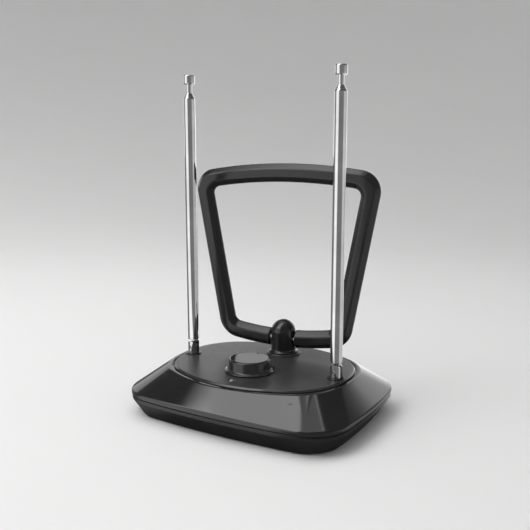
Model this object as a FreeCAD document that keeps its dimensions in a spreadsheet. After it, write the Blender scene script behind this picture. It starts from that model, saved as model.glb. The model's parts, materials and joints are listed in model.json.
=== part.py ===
import FreeCAD, Part

import math
import os
import re

import Sketcher
from FreeCAD import Rotation, Vector

# Tabletop indoor antenna: two telescopic rods and a tilting loop on a weighted base.
# Frame: X runs along the line of the two rods, the front faces -Y, Z is up, and the
# origin is the centre of the base on the surface that it stands on.

# Every driving dimension, in millimetres or degrees, as a row of the sheet.
DIMENSIONS = [
    # Base: its outline at the seam between the shells, at the bottom, and at the deck.
    ("seam_half_width", 73.0, "outline at the seam, half its width"),
    ("seam_half_depth", 55.3, "outline at the seam, half its depth"),
    ("seam_long_radius", 482.0, "radius of the slightly bowed front and back"),
    ("seam_end_radius", 277.5, "radius of the slightly bowed ends"),
    ("seam_corner_radius", 23.8, "radius of the corners"),
    ("bottom_half_width", 66.0, "outline at the bottom, half its width"),
    ("bottom_half_depth", 49.7, "outline at the bottom, half its depth"),
    ("bottom_long_radius", 560.0, "radius of the front and back"),
    ("bottom_end_radius", 376.0, "radius of the ends"),
    ("bottom_corner_radius", 20.5, "radius of the corners"),
    ("deck_half_width", 55.9, "outline of the deck plate, half its width"),
    ("deck_half_depth", 45.1, "outline of the deck plate, half its depth"),
    ("deck_long_radius", 78.6, "radius of the front and back"),
    ("deck_end_radius", 60.7, "radius of the ends"),
    ("deck_corner_radius", 33.6, "radius of the corners"),
    ("deck_shift", 1.8, "the deck's centre lies this far behind the base's centre"),
    ("tray_z", 0.5, "underside of the lower shell"),
    ("seam_z", 12.4, "height of the seam"),
    ("band_height", 2.6, "upright band of the lower shell under the seam"),
    ("band_inset", 0.35, "the band stands back from the upper shell by this much"),
    ("lip_height", 2.4, "upright lip of the upper shell above the seam"),
    ("rim_z", 27.2, "rim of the upper shell around the deck"),
    ("rim_width", 2.0, "flat width of the rim"),
    ("groove_width", 1.2, "groove between the rim and the deck plate"),
    ("ledge_z", 25.8, "floor of the groove, on which the deck plate lies"),
    ("ledge_width", 4.0, "width of the ledge under the deck plate's edge"),
    ("ledge_thickness", 2.2, "thickness of the ledge"),
    ("ceiling_cut_z", 23.0, "cuts through the ledge start below it, here"),
    ("deck_z", 28.3, "top face of the deck plate"),
    ("shell_wall", 2.2, "wall of the shells at the seam"),
    ("floor_thickness", 2.2, "floor of the lower shell"),
    ("cavity_half_width", 59.5, "hollow of the upper shell under the ledge, half width"),
    ("cavity_half_depth", 47.3, "hollow of the upper shell under the ledge, half depth"),
    ("cavity_long_radius", 81.6, "radius of the front and back"),
    ("cavity_end_radius", 63.7, "radius of the ends"),
    ("cavity_corner_radius", 36.6, "radius of the corners"),
    ("rib_gap", 0.3, "gap between the deck's locating rib and the ledge"),
    ("rib_width", 1.6, "width of the deck's locating rib"),
    ("deck_edge_bevel", 0.9, "bevel along the deck's top edge"),
    # Fasteners and feet of the base.
    ("boss_x", 40.0, "case screws, along X from the middle"),
    ("boss_y", 38.0, "case screws, along Y from the middle"),
    ("boss_radius", 3.4, "screw bosses"),
    ("screw_radius", 1.4, "case screw thread"),
    ("screw_hole_radius", 1.6, "clearance hole in the lower shell"),
    ("screw_head_radius", 2.8, "case screw head"),
    ("screw_head_top", 2.6, "height of the head's seat"),
    ("screw_tip_z", 18.0, "tip of the case screws"),
    ("screw_head_bottom", 1.2, "face of the case screws' heads"),
    ("drive_half_width", 0.9, "square drive recess of the case screws, half its width"),
    ("drive_depth", 0.9, "square drive recess of the case screws"),
    ("foot_x", 54.0, "rubber feet, along X from the middle"),
    ("foot_y", 30.0, "rubber feet, along Y from the middle"),
    ("foot_radius", 5.0, "rubber feet"),
    ("foot_top", 1.4, "top of the feet in their recesses"),
    # Board, ballast and connectors.
    ("board_half_width", 33.0, "circuit board, half its width"),
    ("board_front", -30.0, "front edge of the circuit board"),
    ("board_back", 40.0, "back edge of the circuit board"),
    ("board_z", 6.4, "underside of the circuit board"),
    ("board_thickness", 1.6, "circuit board"),
    ("pillar_x", 29.0, "board pillars, along X from the middle"),
    ("pillar_front", -26.0, "board pillars at the front"),
    ("pillar_back", 30.0, "board pillars at the back"),
    ("pillar_radius", 2.8, "board pillars"),
    ("board_screw_radius", 1.0, "board screw thread"),
    ("board_screw_length", 3.0, "board screws below the board"),
    ("board_screw_head", 1.2, "heads of the board screws"),
    ("pilot_depth", 3.2, "pilot holes of the board pillars"),
    ("ballast_half_width", 25.0, "steel ballast plate, half its width"),
    ("ballast_front", -43.0, "front edge of the ballast plate"),
    ("ballast_back", 39.0, "back edge of the ballast plate"),
    ("ballast_thickness", 3.0, "steel ballast plate"),
    ("can_half_width", 14.0, "shielding can, half its width"),
    ("can_front", 2.0, "front of the shielding can"),
    ("can_back", 24.0, "back of the shielding can"),
    ("can_height", 6.5, "shielding can"),
    ("can_wall", 0.4, "shielding can sheet"),
    ("recess_half_width", 18.0, "connector recess, half its width"),
    ("recess_bottom", 5.0, "floor of the connector recess"),
    ("recess_top", 20.0, "roof of the connector recess"),
    ("recess_wall", 2.0, "walls of the connector recess"),
    ("panel_y", 45.5, "outer face of the connector panel"),
    ("panel_thickness", 2.0, "connector panel"),
    ("recess_front", 42.0, "front ends of the recess walls"),
    ("recess_back", 50.5, "the recess walls meet the shells by here"),
    ("connector_z", 12.5, "axis height of both connectors"),
    ("coax_x", -8.0, "coaxial socket, along X"),
    ("coax_radius", 4.7, "threaded barrel of the coaxial socket"),
    ("coax_neck_radius", 4.2, "undercut of the barrel in the panel and under its nut"),
    ("coax_flange_radius", 5.6, "flange of the coaxial socket behind the panel"),
    ("coax_flange_depth", 4.5, "back of that flange, behind the panel's face"),
    ("coax_body_radius", 4.4, "body of the coaxial socket inside the base"),
    ("coax_body_depth", 9.5, "back end of that body, behind the panel's face"),
    ("coax_floor", 1.0, "floor of the coaxial socket's bore"),
    ("coax_nut_corner", 6.3, "nut of the coaxial socket, corner radius"),
    ("contact_radius", 0.6, "centre contact hole of the coaxial socket"),
    ("insulator_recess", 0.8, "the insulator ends this far inside the barrel"),
    ("coax_nut_height", 2.4, "nut of the coaxial socket"),
    ("coax_length", 8.5, "barrel outside the panel"),
    ("coax_bore", 3.4, "bore of the coaxial socket"),
    ("power_x", 9.0, "power inlet, along X"),
    ("power_radius", 4.0, "barrel of the power inlet"),
    ("power_bore", 2.8, "bore of the power inlet"),
    ("power_flange_height", 1.5, "flange of the power inlet"),
    ("power_depth", 9.0, "back end of the power inlet, behind the panel's face"),
    ("power_bore_depth", 7.0, "floor of the power inlet's bore, behind the panel's face"),
    ("power_pin_radius", 0.9, "centre pin of the power inlet"),
    ("power_pin_end", 0.5, "tip of the centre pin, outside the panel's face"),
    # Gain knob and its potentiometer.
    ("knob_y", -14.3, "knob axis, along Y"),
    ("knob_skirt_radius", 14.8, "thin skirt of the knob"),
    ("knob_foot_radius", 12.8, "knob body at the bottom"),
    ("knob_top_radius", 12.1, "knob body at the top"),
    ("knob_height", 7.8, "knob top above the deck"),
    ("knob_gap", 0.3, "gap between the skirt and the deck"),
    ("shaft_radius", 3.0, "potentiometer shaft"),
    ("neck_radius", 3.5, "threaded neck of the potentiometer"),
    ("neck_top", 1.9, "top of that neck above the deck"),
    ("pot_radius", 8.2, "case of the potentiometer"),
    ("pot_depth", 12.3, "bottom of the potentiometer's case under the deck's top"),
    ("pot_top_depth", 4.4, "top of the potentiometer's case under the deck's top"),
    ("pot_shoulder_radius", 4.6, "shoulder of the potentiometer against the deck"),
    ("pot_bore_depth", 10.0, "floor of the potentiometer's bore under the deck's top"),
    ("pot_nut_height", 1.7, "nut of the potentiometer"),
    ("pot_nut_corner", 5.2, "nut of the potentiometer, corner radius"),
    ("knob_hub_radius", 5.6, "hub of the knob around its shaft"),
    ("knob_hub_bottom", 2.6, "underside of the knob's hub above the deck"),
    ("knob_hollow_radius", 10.6, "hollow of the knob at its roof"),
    ("knob_mouth_radius", 10.9, "hollow of the knob at its mouth"),
    ("knob_roof", 2.2, "roof of the knob"),
    ("knob_socket_roof", 1.5, "roof of the knob over its shaft"),
    ("knob_mark_width", 1.0, "pointer mark of the knob"),
    ("knob_mark_start", 3.6, "inner end of the pointer mark, from the top's edge"),
    ("knob_mark_end", 0.9, "outer end of the pointer mark, from the top's edge"),
    ("knob_mark_depth", 0.3, "pointer mark of the knob"),
    ("running_gap", 0.05, "radial clearance of every running fit"),
    ("led_y", -34.7, "status lamp, along Y"),
    ("led_radius", 1.45, "status lamp"),
    ("led_depth", 6.2, "bottom of the status lamp under the deck's top"),
    ("led_collar_depth", 5.2, "top of the lamp's collar under the deck's top"),
    ("led_collar_width", 0.45, "collar of the lamp"),
    ("led_dome_depth", 1.2, "centre of the lamp's round end under the deck's top"),
    # Rods: origin of their pieces is the knuckle's pivot.
    ("rod_x", 50.0, "rod axes, along X from the middle"),
    ("rod_y", -1.8, "rod axes, along Y"),
    ("rod_pivot_z", 32.9, "height of the knuckle pivots"),
    ("bush_radius", 4.0, "rod bush through the deck"),
    ("bush_flange_radius", 4.9, "flange of the rod bush"),
    ("bush_flange_height", 0.6, "flange of the rod bush"),
    ("bush_bottom_z", 20.4, "lower end of the rod bush"),
    ("stud_radius", 2.5, "swivel stud"),
    ("stud_bottom_z", 18.5, "lower end of the swivel stud"),
    ("clip_groove_radius", 1.9, "groove of the swivel stud"),
    ("clip_z", 19.0, "underside of the retaining clip"),
    ("clip_thickness", 0.8, "retaining clip"),
    ("clip_radius", 3.9, "retaining clip"),
    ("tongue_half_width", 2.1, "tongue of the swivel stud, half its width"),
    ("tongue_thickness", 2.4, "tongue of the swivel stud"),
    ("slot_width", 2.7, "slot of the knuckle"),
    ("slot_top", 3.2, "top of the slot above the pivot"),
    ("ball_radius", 3.8, "rounded bottom of the knuckle"),
    ("rivet_radius", 1.0, "knuckle rivet"),
    ("rivet_half_length", 3.15, "knuckle rivet, half its length"),
    ("knuckle_top", 5.0, "top of the knuckle above the pivot"),
    ("spigot_length", 4.0, "spigot of the knuckle inside the outer tube"),
    ("tube_radius_1", 3.5, "outer tube"),
    ("tube_bore_1", 3.15, "outer tube, bore"),
    ("tube_radius_2", 2.85, "second tube"),
    ("tube_bore_2", 2.6, "second tube, bore"),
    ("tube_radius_3", 2.3, "third tube"),
    ("tube_bore_3", 2.05, "third tube, bore"),
    ("tube_radius_4", 1.75, "inner rod"),
    ("tube_top", 156.2, "top of the outer tube above the pivot"),
    ("tube_step", 1.1, "each inner section stands this much above the one around it"),
    ("tube_bottom_step", 1.5, "bottoms of the inner sections are stepped by this much"),
    ("crimp_length", 1.5, "length of the narrowed mouth of each tube"),
    ("crimp_bevel", 0.5, "bevel on the mouth of each tube"),
    ("flare_length", 4.0, "length of the wide foot of each inner section"),
    ("cap_bottom", 163.6, "underside of the tip cap above the pivot"),
    ("cap_height", 5.5, "tip cap"),
    ("cap_radius", 3.45, "tip cap"),
    ("cap_bevel", 0.5, "bevel of the tip cap"),
    ("cap_socket_depth", 3.0, "socket of the tip cap"),
    # Loop post: origin of its pieces is the loop's tilt pivot.
    ("post_y", 27.5, "post axis, along Y"),
    ("loop_pivot_z", 38.35, "height of the loop's tilt pivot"),
    ("loop_turn", 6.0, "the loop stands turned by this angle at rest"),
    ("post_radius", 7.9, "post"),
    ("dome_z", 42.7, "centre height of the post's round head"),
    ("post_flange_radius", 9.3, "turning flange at the foot of the post"),
    ("post_flange_height", 0.9, "turning flange at the foot of the post"),
    ("collar_radius", 10.7, "fixed collar around the post"),
    ("collar_bore", 8.25, "bore of the fixed collar"),
    ("collar_height", 1.1, "fixed collar around the post"),
    ("stem_radius", 5.0, "stem of the post through the deck"),
    ("stem_bottom_z", 20.0, "lower end of the stem"),
    ("stem_groove_radius", 4.2, "groove of the stem"),
    ("stem_clip_z", 22.0, "underside of the post's retaining clip"),
    ("stem_clip_thickness", 1.1, "post's retaining clip"),
    ("stem_clip_radius", 7.0, "post's retaining clip"),
    ("stem_boss_radius", 8.0, "boss of the deck around the stem"),
    ("stem_boss_z", 23.9, "underside of the boss"),
    ("pivot_bush_radius", 3.6, "bush around the loop's pivot shaft"),
    ("pivot_radius", 2.5, "loop's pivot shaft"),
    ("pivot_half_length", 14.5, "loop's pivot shaft, half its length"),
    ("post_screw_z", 8.0, "clamp screw above the pivot"),
    ("post_screw_radius", 1.2, "clamp screw"),
    ("post_screw_head_radius", 2.3, "clamp screw head"),
    ("post_screw_seat", 3.2, "seat of the clamp screw's head behind the pivot"),
    ("post_screw_front", 4.5, "tip of the clamp screw in front of the pivot"),
    # Loop frame, in its own plane with the pivot as the origin.
    ("loop_top", 111.1, "crest of the top bar above the pivot"),
    ("loop_top_radius", 332.0, "radius of the bowed top bar"),
    ("loop_bottom", -5.73, "lowest point of the bottom bar"),
    ("loop_bottom_radius", 200.0, "radius of the bowed bottom bar"),
    ("loop_side_distance", 43.3, "distance of each side's outer line from the pivot"),
    ("loop_side_angle", 10.46, "each side leans outwards by this angle"),
    ("loop_top_corner", 13.1, "outer radius of the top corners"),
    ("loop_bottom_corner", 14.4, "outer radius of the bottom corners"),
    ("loop_top_inner_corner", 4.5, "inner radius of the top corners"),
    ("loop_bottom_inner_corner", 5.0, "inner radius of the bottom corners"),
    ("loop_width", 11.45, "width of the frame's bar"),
    ("loop_half_depth", 4.1, "half the depth of the frame's bar"),
    ("loop_bevel", 3.3, "bevel along the edges of the bar"),
    ("loop_gap", 8.5, "half the gap of the bottom bar around the post"),
    ("channel_start", 4.1, "conductor channel, from the outer edge"),
    ("channel_end", 7.3, "conductor channel, from the outer edge"),
    ("channel_depth", 1.05, "conductor channel in each half"),
    ("conductor_clearance", 0.1, "gap between the conductor and its channel"),
]

ORIGIN = -1
X_AXIS = -1
Y_AXIS = -2
CENTRE = 3
START = 1
END = 2
UP = Vector(0, 0, 1)
THROUGH_BOTH_WAYS = "400"

doc = FreeCAD.newDocument("RabbitEars")
sheet = doc.addObject("Spreadsheet::Sheet", "Dims")
nodes = []


def fill_sheet():
    """Write the driving dimensions to the sheet and name their cells."""
    for row, (name, value, note) in enumerate(DIMENSIONS, start=1):
        sheet.set(f"A{row}", name)
        sheet.set(f"B{row}", str(value))
        sheet.set(f"C{row}", note)
        sheet.setAlias(f"B{row}", name)
    doc.recompute()


def bound(text):
    """Turn the dimension names in an expression into references to the sheet."""
    return re.sub(r"[a-z]\w*", lambda word: word[0] if word[0] == "sqrt" else "Dims." + word[0], text)


def number(text):
    """Value of an expression in dimension names."""
    return float(sheet.evalExpression(bound(text)))


def new_body(name, x="0", y="0", z="0"):
    """Start the body of one node, placed at x, y, z."""
    body = doc.addObject("PartDesign::Body", name)
    body.Label = name
    for axis, text in zip("xyz", (x, y, z)):
        body.setExpression("Placement.Base." + axis, bound(text))
    nodes.append(body)
    return body


def new_sketch(body, role="XY_Plane", offset="0", shift="0"):
    """Sketch on one of the body's own planes, moved along its normal and its second axis."""
    plane = next(item for item in body.Origin.OriginFeatures if item.Role == role)
    sketch = body.newObject("Sketcher::SketchObject", f"{body.Name}_sketch")
    sketch.AttachmentSupport = [(plane, "")]
    sketch.MapMode = "FlatFace"
    sketch.setExpression("AttachmentOffset.Base.z", bound(offset))
    sketch.setExpression("AttachmentOffset.Base.y", bound(shift))
    return sketch


def tie(sketch, kind, items, text):
    """Add a dimension to the sketch and bind its value to the sheet."""
    index = sketch.addConstraint(Sketcher.Constraint(kind, *items, number(text)))
    sketch.setExpression(f"Constraints[{index}]", bound(text))


def place_along(sketch, kind, axis, item, end, text):
    """Fix a point's distance from one axis of the sketch."""
    if text == "0":
        sketch.addConstraint(Sketcher.Constraint("PointOnObject", item, end, axis))
    else:
        tie(sketch, kind, (ORIGIN, START, item, end), text)


def place_height(sketch, item, end, y):
    """Fix the height of a point of the sketch."""
    place_along(sketch, "DistanceY", X_AXIS, item, end, y)


def place_point(sketch, item, end, x, y):
    """Fix a point of the sketch at x, y."""
    place_along(sketch, "DistanceX", Y_AXIS, item, end, x)
    place_height(sketch, item, end, y)


def circle(sketch, radius, x="0", y="0"):
    """Circle with its centre at x, y."""
    centre = Vector(number(x), number(y), 0)
    item = sketch.addGeometry(Part.Circle(centre, UP, number(radius)))
    tie(sketch, "Radius", (item,), radius)
    place_point(sketch, item, CENTRE, x, y)


def polygon(sketch, corners):
    """Closed outline, counterclockwise. A corner with a third value starts an arc whose
    centre lies on the sketch's upright axis at that height."""
    first = sketch.GeometryCount
    points = [Vector(number(corner[0]), number(corner[1]), 0) for corner in corners]
    for index, corner in enumerate(corners):
        here = points[index]
        following = points[(index + 1) % len(points)]
        if len(corner) == 2:
            item = sketch.addGeometry(Part.LineSegment(here, following))
            continue
        centre = Vector(0, number(corner[2]), 0)
        start_angle = math.atan2(here.y - centre.y, here.x)
        end_angle = math.atan2(following.y - centre.y, following.x)
        round_edge = Part.Circle(centre, UP, here.distanceToPoint(centre))
        item = sketch.addGeometry(Part.ArcOfCircle(round_edge, start_angle, end_angle))
        place_height(sketch, item, CENTRE, corner[2])
    for index, corner in enumerate(corners):
        following = first + (index + 1) % len(corners)
        sketch.addConstraint(Sketcher.Constraint("Coincident", first + index, END, following, START))
        place_point(sketch, first + index, START, corner[0], corner[1])


def rectangle(sketch, left, right, low, high):
    """Rectangle between four limits."""
    polygon(sketch, [(left, low), (right, low), (right, high), (left, high)])


def hexagon(sketch, corner_radius):
    """Regular hexagon about the origin, with a corner on the X axis."""
    half = f"{corner_radius} * 0.5"
    tall = f"{corner_radius} * sqrt(3) / 2"
    polygon(sketch, [
        (corner_radius, "0"), (half, tall), (f"-{half}", tall),
        (f"-{corner_radius}", "0"), (f"-{half}", f"-{tall}"), (half, f"-{tall}"),
    ])


def join_smoothly(sketch, first, count):
    """Make a ring of sketch items tangent, each to the next."""
    for index in range(count):
        following = first + (index + 1) % count
        sketch.addConstraint(Sketcher.Constraint("Tangent", first + index, END, following, START))


def arc(sketch, centre, radius, start_angle, end_angle):
    """Arc of a circle, counterclockwise."""
    return sketch.addGeometry(Part.ArcOfCircle(Part.Circle(centre, UP, radius), start_angle, end_angle))


def barrel(sketch, kind, grow="0"):
    """Rounded rectangle with bowed sides: eight tangent arcs, each grown by the same amount."""
    names = ("half_width", "half_depth", "long_radius", "end_radius", "corner_radius")
    texts = [f"{kind}_{name} + ({grow})" for name in names]
    half_width, half_depth, long_radius, end_radius, corner_radius = [number(text) for text in texts]
    long_centre = half_depth - long_radius
    end_centre = half_width - end_radius
    # The corner's centre is where two circles about the long and end centres cross.
    reach_long = long_radius - corner_radius
    reach_end = end_radius - corner_radius
    apart = math.hypot(long_centre, end_centre)
    along = (reach_long ** 2 - reach_end ** 2 + apart ** 2) / (2 * apart)
    aside = math.sqrt(reach_long ** 2 - along ** 2)
    corner_x = (end_centre * along - long_centre * aside) / apart
    corner_y = long_centre - (long_centre * along + end_centre * aside) / apart
    long_angle = math.atan2(corner_y - long_centre, corner_x)
    end_angle = math.atan2(corner_y, corner_x - end_centre)
    half_turn = math.pi
    first = sketch.GeometryCount
    arc(sketch, Vector(end_centre, 0), end_radius, -end_angle, end_angle)
    arc(sketch, Vector(corner_x, corner_y), corner_radius, end_angle, long_angle)
    arc(sketch, Vector(0, long_centre), long_radius, long_angle, half_turn - long_angle)
    arc(sketch, Vector(-corner_x, corner_y), corner_radius, half_turn - long_angle, half_turn - end_angle)
    arc(sketch, Vector(-end_centre, 0), end_radius, half_turn - end_angle, half_turn + end_angle)
    arc(sketch, Vector(-corner_x, -corner_y), corner_radius, half_turn + end_angle, half_turn + long_angle)
    arc(sketch, Vector(0, -long_centre), long_radius, half_turn + long_angle, 2 * half_turn - long_angle)
    arc(sketch, Vector(corner_x, -corner_y), corner_radius, -long_angle, -end_angle)
    join_smoothly(sketch, first, 8)
    long_offset = f"{texts[1]} - ({texts[2]})"
    end_offset = f"{texts[0]} - ({texts[3]})"
    place_point(sketch, first, CENTRE, end_offset, "0")
    place_point(sketch, first + 2, CENTRE, "0", long_offset)
    place_point(sketch, first + 4, CENTRE, f"-({end_offset})", "0")
    place_point(sketch, first + 6, CENTRE, "0", f"-({long_offset})")
    for index, text in enumerate((texts[3], texts[4], texts[2], texts[4]) * 2):
        tie(sketch, "Radius", (first + index,), text)


def loop_outline(sketch, inset, top_corner, bottom_corner):
    """Outline of the loop: leaning straight sides, bowed top and bottom, rounded corners."""
    side_text = f"loop_side_distance - {inset}"
    side = number(side_text)
    lean = math.radians(number("loop_side_angle"))
    outwards = Vector(math.cos(lean), -math.sin(lean))
    upwards = Vector(math.sin(lean), math.cos(lean))
    arcs = []
    for crest, radius, corner, sign in (
        (f"loop_top - {inset}", f"loop_top_radius - {inset}", top_corner, 1),
        (f"loop_bottom + {inset}", f"loop_bottom_radius - {inset}", bottom_corner, -1),
    ):
        centre_text = f"{crest} - ({radius})" if sign > 0 else f"{crest} + ({radius})"
        bow_centre = Vector(0, number(centre_text))
        reach = number(radius) - number(corner)
        start = outwards * (side - number(corner)) - bow_centre
        half = start.dot(upwards)
        travel = -half + sign * math.sqrt(half ** 2 - start.dot(start) + reach ** 2)
        corner_centre = bow_centre + start + upwards * travel
        from_bow = corner_centre - bow_centre
        angle = math.atan2(from_bow.y, from_bow.x)
        arcs.append((
            bow_centre, number(radius), corner_centre, number(corner), angle, centre_text, radius,
        ))
    top, bottom = arcs
    half_turn = math.pi

    def flipped(point):
        return Vector(-point.x, point.y)

    right_low = bottom[2] + outwards * bottom[3]
    right_high = top[2] + outwards * top[3]
    first = sketch.addGeometry(Part.LineSegment(right_low, right_high))
    arc(sketch, top[2], top[3], -lean, top[4])
    arc(sketch, top[0], top[1], top[4], half_turn - top[4])
    arc(sketch, flipped(top[2]), top[3], half_turn - top[4], half_turn + lean)
    sketch.addGeometry(Part.LineSegment(flipped(right_high), flipped(right_low)))
    arc(sketch, flipped(bottom[2]), bottom[3], half_turn + lean, half_turn - bottom[4])
    arc(sketch, bottom[0], bottom[1], half_turn - bottom[4], 2 * half_turn + bottom[4])
    arc(sketch, bottom[2], bottom[3], bottom[4], -lean)
    join_smoothly(sketch, first, 8)
    for item, bow, corner in ((first + 2, top, top_corner), (first + 6, bottom, bottom_corner)):
        place_point(sketch, item, CENTRE, "0", bow[5])
        tie(sketch, "Radius", (item,), bow[6])
        tie(sketch, "Radius", (item - 1 if item == first + 2 else item + 1,), corner)
    tie(sketch, "Distance", (ORIGIN, START, first), side_text)
    index = sketch.addConstraint(Sketcher.Constraint("Angle", first, math.pi / 2 - lean))
    sketch.setExpression(f"Constraints[{index}]", "(90 - Dims.loop_side_angle) * 1 deg")
    for right, left in ((first + 1, first + 3), (first + 7, first + 5)):
        sketch.addConstraint(Sketcher.Constraint("Symmetric", right, CENTRE, left, CENTRE, Y_AXIS))


def volume_of(body):
    """Volume of a body so far."""
    doc.recompute()
    return body.Shape.Volume


def pad(body, sketch, length, symmetric=False, reverse=False):
    """Extrude a sketch along its plane's normal."""
    feature = body.newObject("PartDesign::Pad", f"{body.Name}_pad")
    feature.Profile = sketch
    feature.setExpression("Length", bound(length))
    feature.SideType = "Symmetric" if symmetric else "One side"
    feature.Reversed = reverse
    sketch.Visibility = False
    doc.recompute()


def cut(body, sketch, length=None, symmetric=False, reverse=False):
    """Cut a sketch's outline out of the body: against the normal, or along it if reversed,
    through everything unless a length is given."""
    before = volume_of(body)
    feature = body.newObject("PartDesign::Pocket", f"{body.Name}_cut")
    feature.Profile = sketch
    if length is None and not symmetric:
        feature.Type = "ThroughAll"
    else:
        feature.setExpression("Length", bound(length or THROUGH_BOTH_WAYS))
    feature.SideType = "Symmetric" if symmetric else "One side"
    feature.Reversed = reverse
    if volume_of(body) > before - 0.01:
        raise RuntimeError(f"{body.Label}: a cut removes nothing")


def turn(body, corners):
    """Revolve a half section, given as radius and height, about the body's Z axis."""
    sketch = new_sketch(body, "XZ_Plane")
    polygon(sketch, corners)
    feature = body.newObject("PartDesign::Revolution", f"{body.Name}_turned")
    feature.Profile = sketch
    feature.ReferenceAxis = (sketch, ["V_Axis"])
    feature.Angle = 360
    doc.recompute()


def loft(body, lower, upper, hollow=False):
    """Ruled loft between two sketches, added to the body or cut out of it."""
    kind = "PartDesign::SubtractiveLoft" if hollow else "PartDesign::AdditiveLoft"
    feature = body.newObject(kind, f"{body.Name}_loft")
    feature.Profile = lower
    feature.Sections = [upper]
    feature.Ruled = True
    doc.recompute()


def barrel_sketch(body, kind, height, grow="0", shift="0"):
    """Sketch of a barrel outline at a height."""
    sketch = new_sketch(body, "XY_Plane", height, shift)
    barrel(sketch, kind, grow)
    return sketch


def edges_at(shape, test):
    """Names of the edges whose every end and middle pass a test."""
    names = []
    for index, edge in enumerate(shape.Edges, start=1):
        middle = edge.valueAt((edge.FirstParameter + edge.LastParameter) / 2)
        if all(test(point) for point in [vertex.Point for vertex in edge.Vertexes] + [middle]):
            names.append(f"Edge{index}")
    return names


def bevel(body, size, test):
    """Chamfer the edges that pass a test."""
    doc.recompute()
    base = body.Tip
    feature = body.newObject("PartDesign::Chamfer", f"{body.Name}_bevel")
    feature.Base = (base, edges_at(base.Shape, test))
    feature.setExpression("Size", bound(size))
    doc.recompute()


def ring(body, inner, outer, low, high):
    """Flat ring about the body's Z axis."""
    turn(body, [(inner, low), (outer, low), (outer, high), (inner, high)])


def four_ways(x, y):
    """The four points at plus and minus x and y."""
    return [(sx + x, sy + y) for sx in ("", "-") for sy in ("", "-")]


# ---------------------------------------------------------------- base shells

def make_lower_shell():
    """Open tray that leans in towards the bottom, with bosses, pillars and foot recesses."""
    body = new_body("lower_shell")
    floor_z = "tray_z + floor_thickness"
    band_z = "seam_z - band_height"
    loft(body, barrel_sketch(body, "bottom", "tray_z"), barrel_sketch(body, "seam", band_z, "-band_inset"))
    pad(body, barrel_sketch(body, "seam", band_z, "-band_inset"), "band_height")
    loft(
        body,
        barrel_sketch(body, "bottom", floor_z, "-shell_wall"),
        barrel_sketch(body, "seam", "seam_z", "-shell_wall"),
        hollow=True,
    )
    bosses = new_sketch(body, offset=floor_z + " - 0.5")
    for x, y in four_ways("boss_x", "boss_y"):
        circle(bosses, "boss_radius", x, y)
    pad(body, bosses, f"seam_z - ({floor_z}) + 0.5")
    pillars = new_sketch(body, offset=floor_z + " - 0.5")
    for x in ("pillar_x", "-pillar_x"):
        for y in ("pillar_front", "pillar_back"):
            circle(pillars, "pillar_radius", x, y)
    pad(body, pillars, f"board_z - ({floor_z}) + 0.5")
    add_recess_walls(body, "recess_bottom - recess_wall", "seam_z")
    holes = new_sketch(body, offset="tray_z")
    for x, y in four_ways("boss_x", "boss_y"):
        circle(holes, "screw_hole_radius", x, y)
    cut(body, holes, reverse=True)
    seats = new_sketch(body, offset="tray_z")
    for x, y in four_ways("boss_x", "boss_y"):
        circle(seats, "screw_head_radius + 0.2", x, y)
    cut(body, seats, "screw_head_top - tray_z", reverse=True)
    feet = new_sketch(body, offset="tray_z")
    for x, y in four_ways("foot_x", "foot_y"):
        circle(feet, "foot_radius", x, y)
    cut(body, feet, "foot_top - tray_z", reverse=True)
    pilots = new_sketch(body, offset="board_z")
    for x in ("pillar_x", "-pillar_x"):
        for y in ("pillar_front", "pillar_back"):
            circle(pilots, "board_screw_radius", x, y)
    cut(body, pilots, "pilot_depth")


def add_recess_walls(body, low, high):
    """Frame of the connector recess inside one shell, then the recess itself."""
    frame = new_sketch(body, offset=low)
    outer = "recess_half_width + recess_wall"
    rectangle(frame, f"-({outer})", outer, "recess_front", "recess_back")
    pad(body, frame, f"({high}) - ({low})")
    opening = new_sketch(body, "XZ_Plane", "-recess_front")
    rectangle(opening, "-recess_half_width", "recess_half_width", "recess_bottom", "recess_top")
    cut(body, opening)


def make_upper_shell():
    """Glossy skirt: an upright lip, a sloping wall and a grooved rim around the deck."""
    body = new_body("upper_shell")
    lip_z = "seam_z + lip_height"
    rim_grow = "groove_width + rim_width"
    pad(body, barrel_sketch(body, "seam", "seam_z"), "lip_height")
    rim = barrel_sketch(body, "deck", "rim_z", rim_grow, "deck_shift")
    loft(body, barrel_sketch(body, "seam", lip_z), rim)
    ceiling_z = "ledge_z - ledge_thickness"
    hollow_top = new_sketch(body, "XY_Plane", ceiling_z, "deck_shift * 0.7")
    barrel(hollow_top, "cavity")
    loft(body, barrel_sketch(body, "seam", "seam_z", "-shell_wall"), hollow_top, hollow=True)
    bosses = new_sketch(body, offset="seam_z")
    for x, y in four_ways("boss_x", "boss_y"):
        circle(bosses, "boss_radius", x, y)
    pad(body, bosses, f"{ceiling_z} - seam_z + 0.5")
    add_recess_walls(body, "seam_z", "recess_top + recess_wall")
    cut(body, barrel_sketch(body, "deck", "ledge_z", "groove_width", "deck_shift"), reverse=True)
    cut(body, barrel_sketch(body, "deck", "ceiling_cut_z", "-ledge_width", "deck_shift"), reverse=True)
    pilots = new_sketch(body, offset="seam_z")
    for x, y in four_ways("boss_x", "boss_y"):
        circle(pilots, "screw_radius", x, y)
    cut(body, pilots, "screw_tip_z - seam_z + 0.5", reverse=True)
    passages = new_sketch(body, offset="ceiling_cut_z")
    for x in ("rod_x", "-rod_x"):
        circle(passages, "bush_radius", x, "rod_y")
    cut(body, passages, reverse=True)


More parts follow.
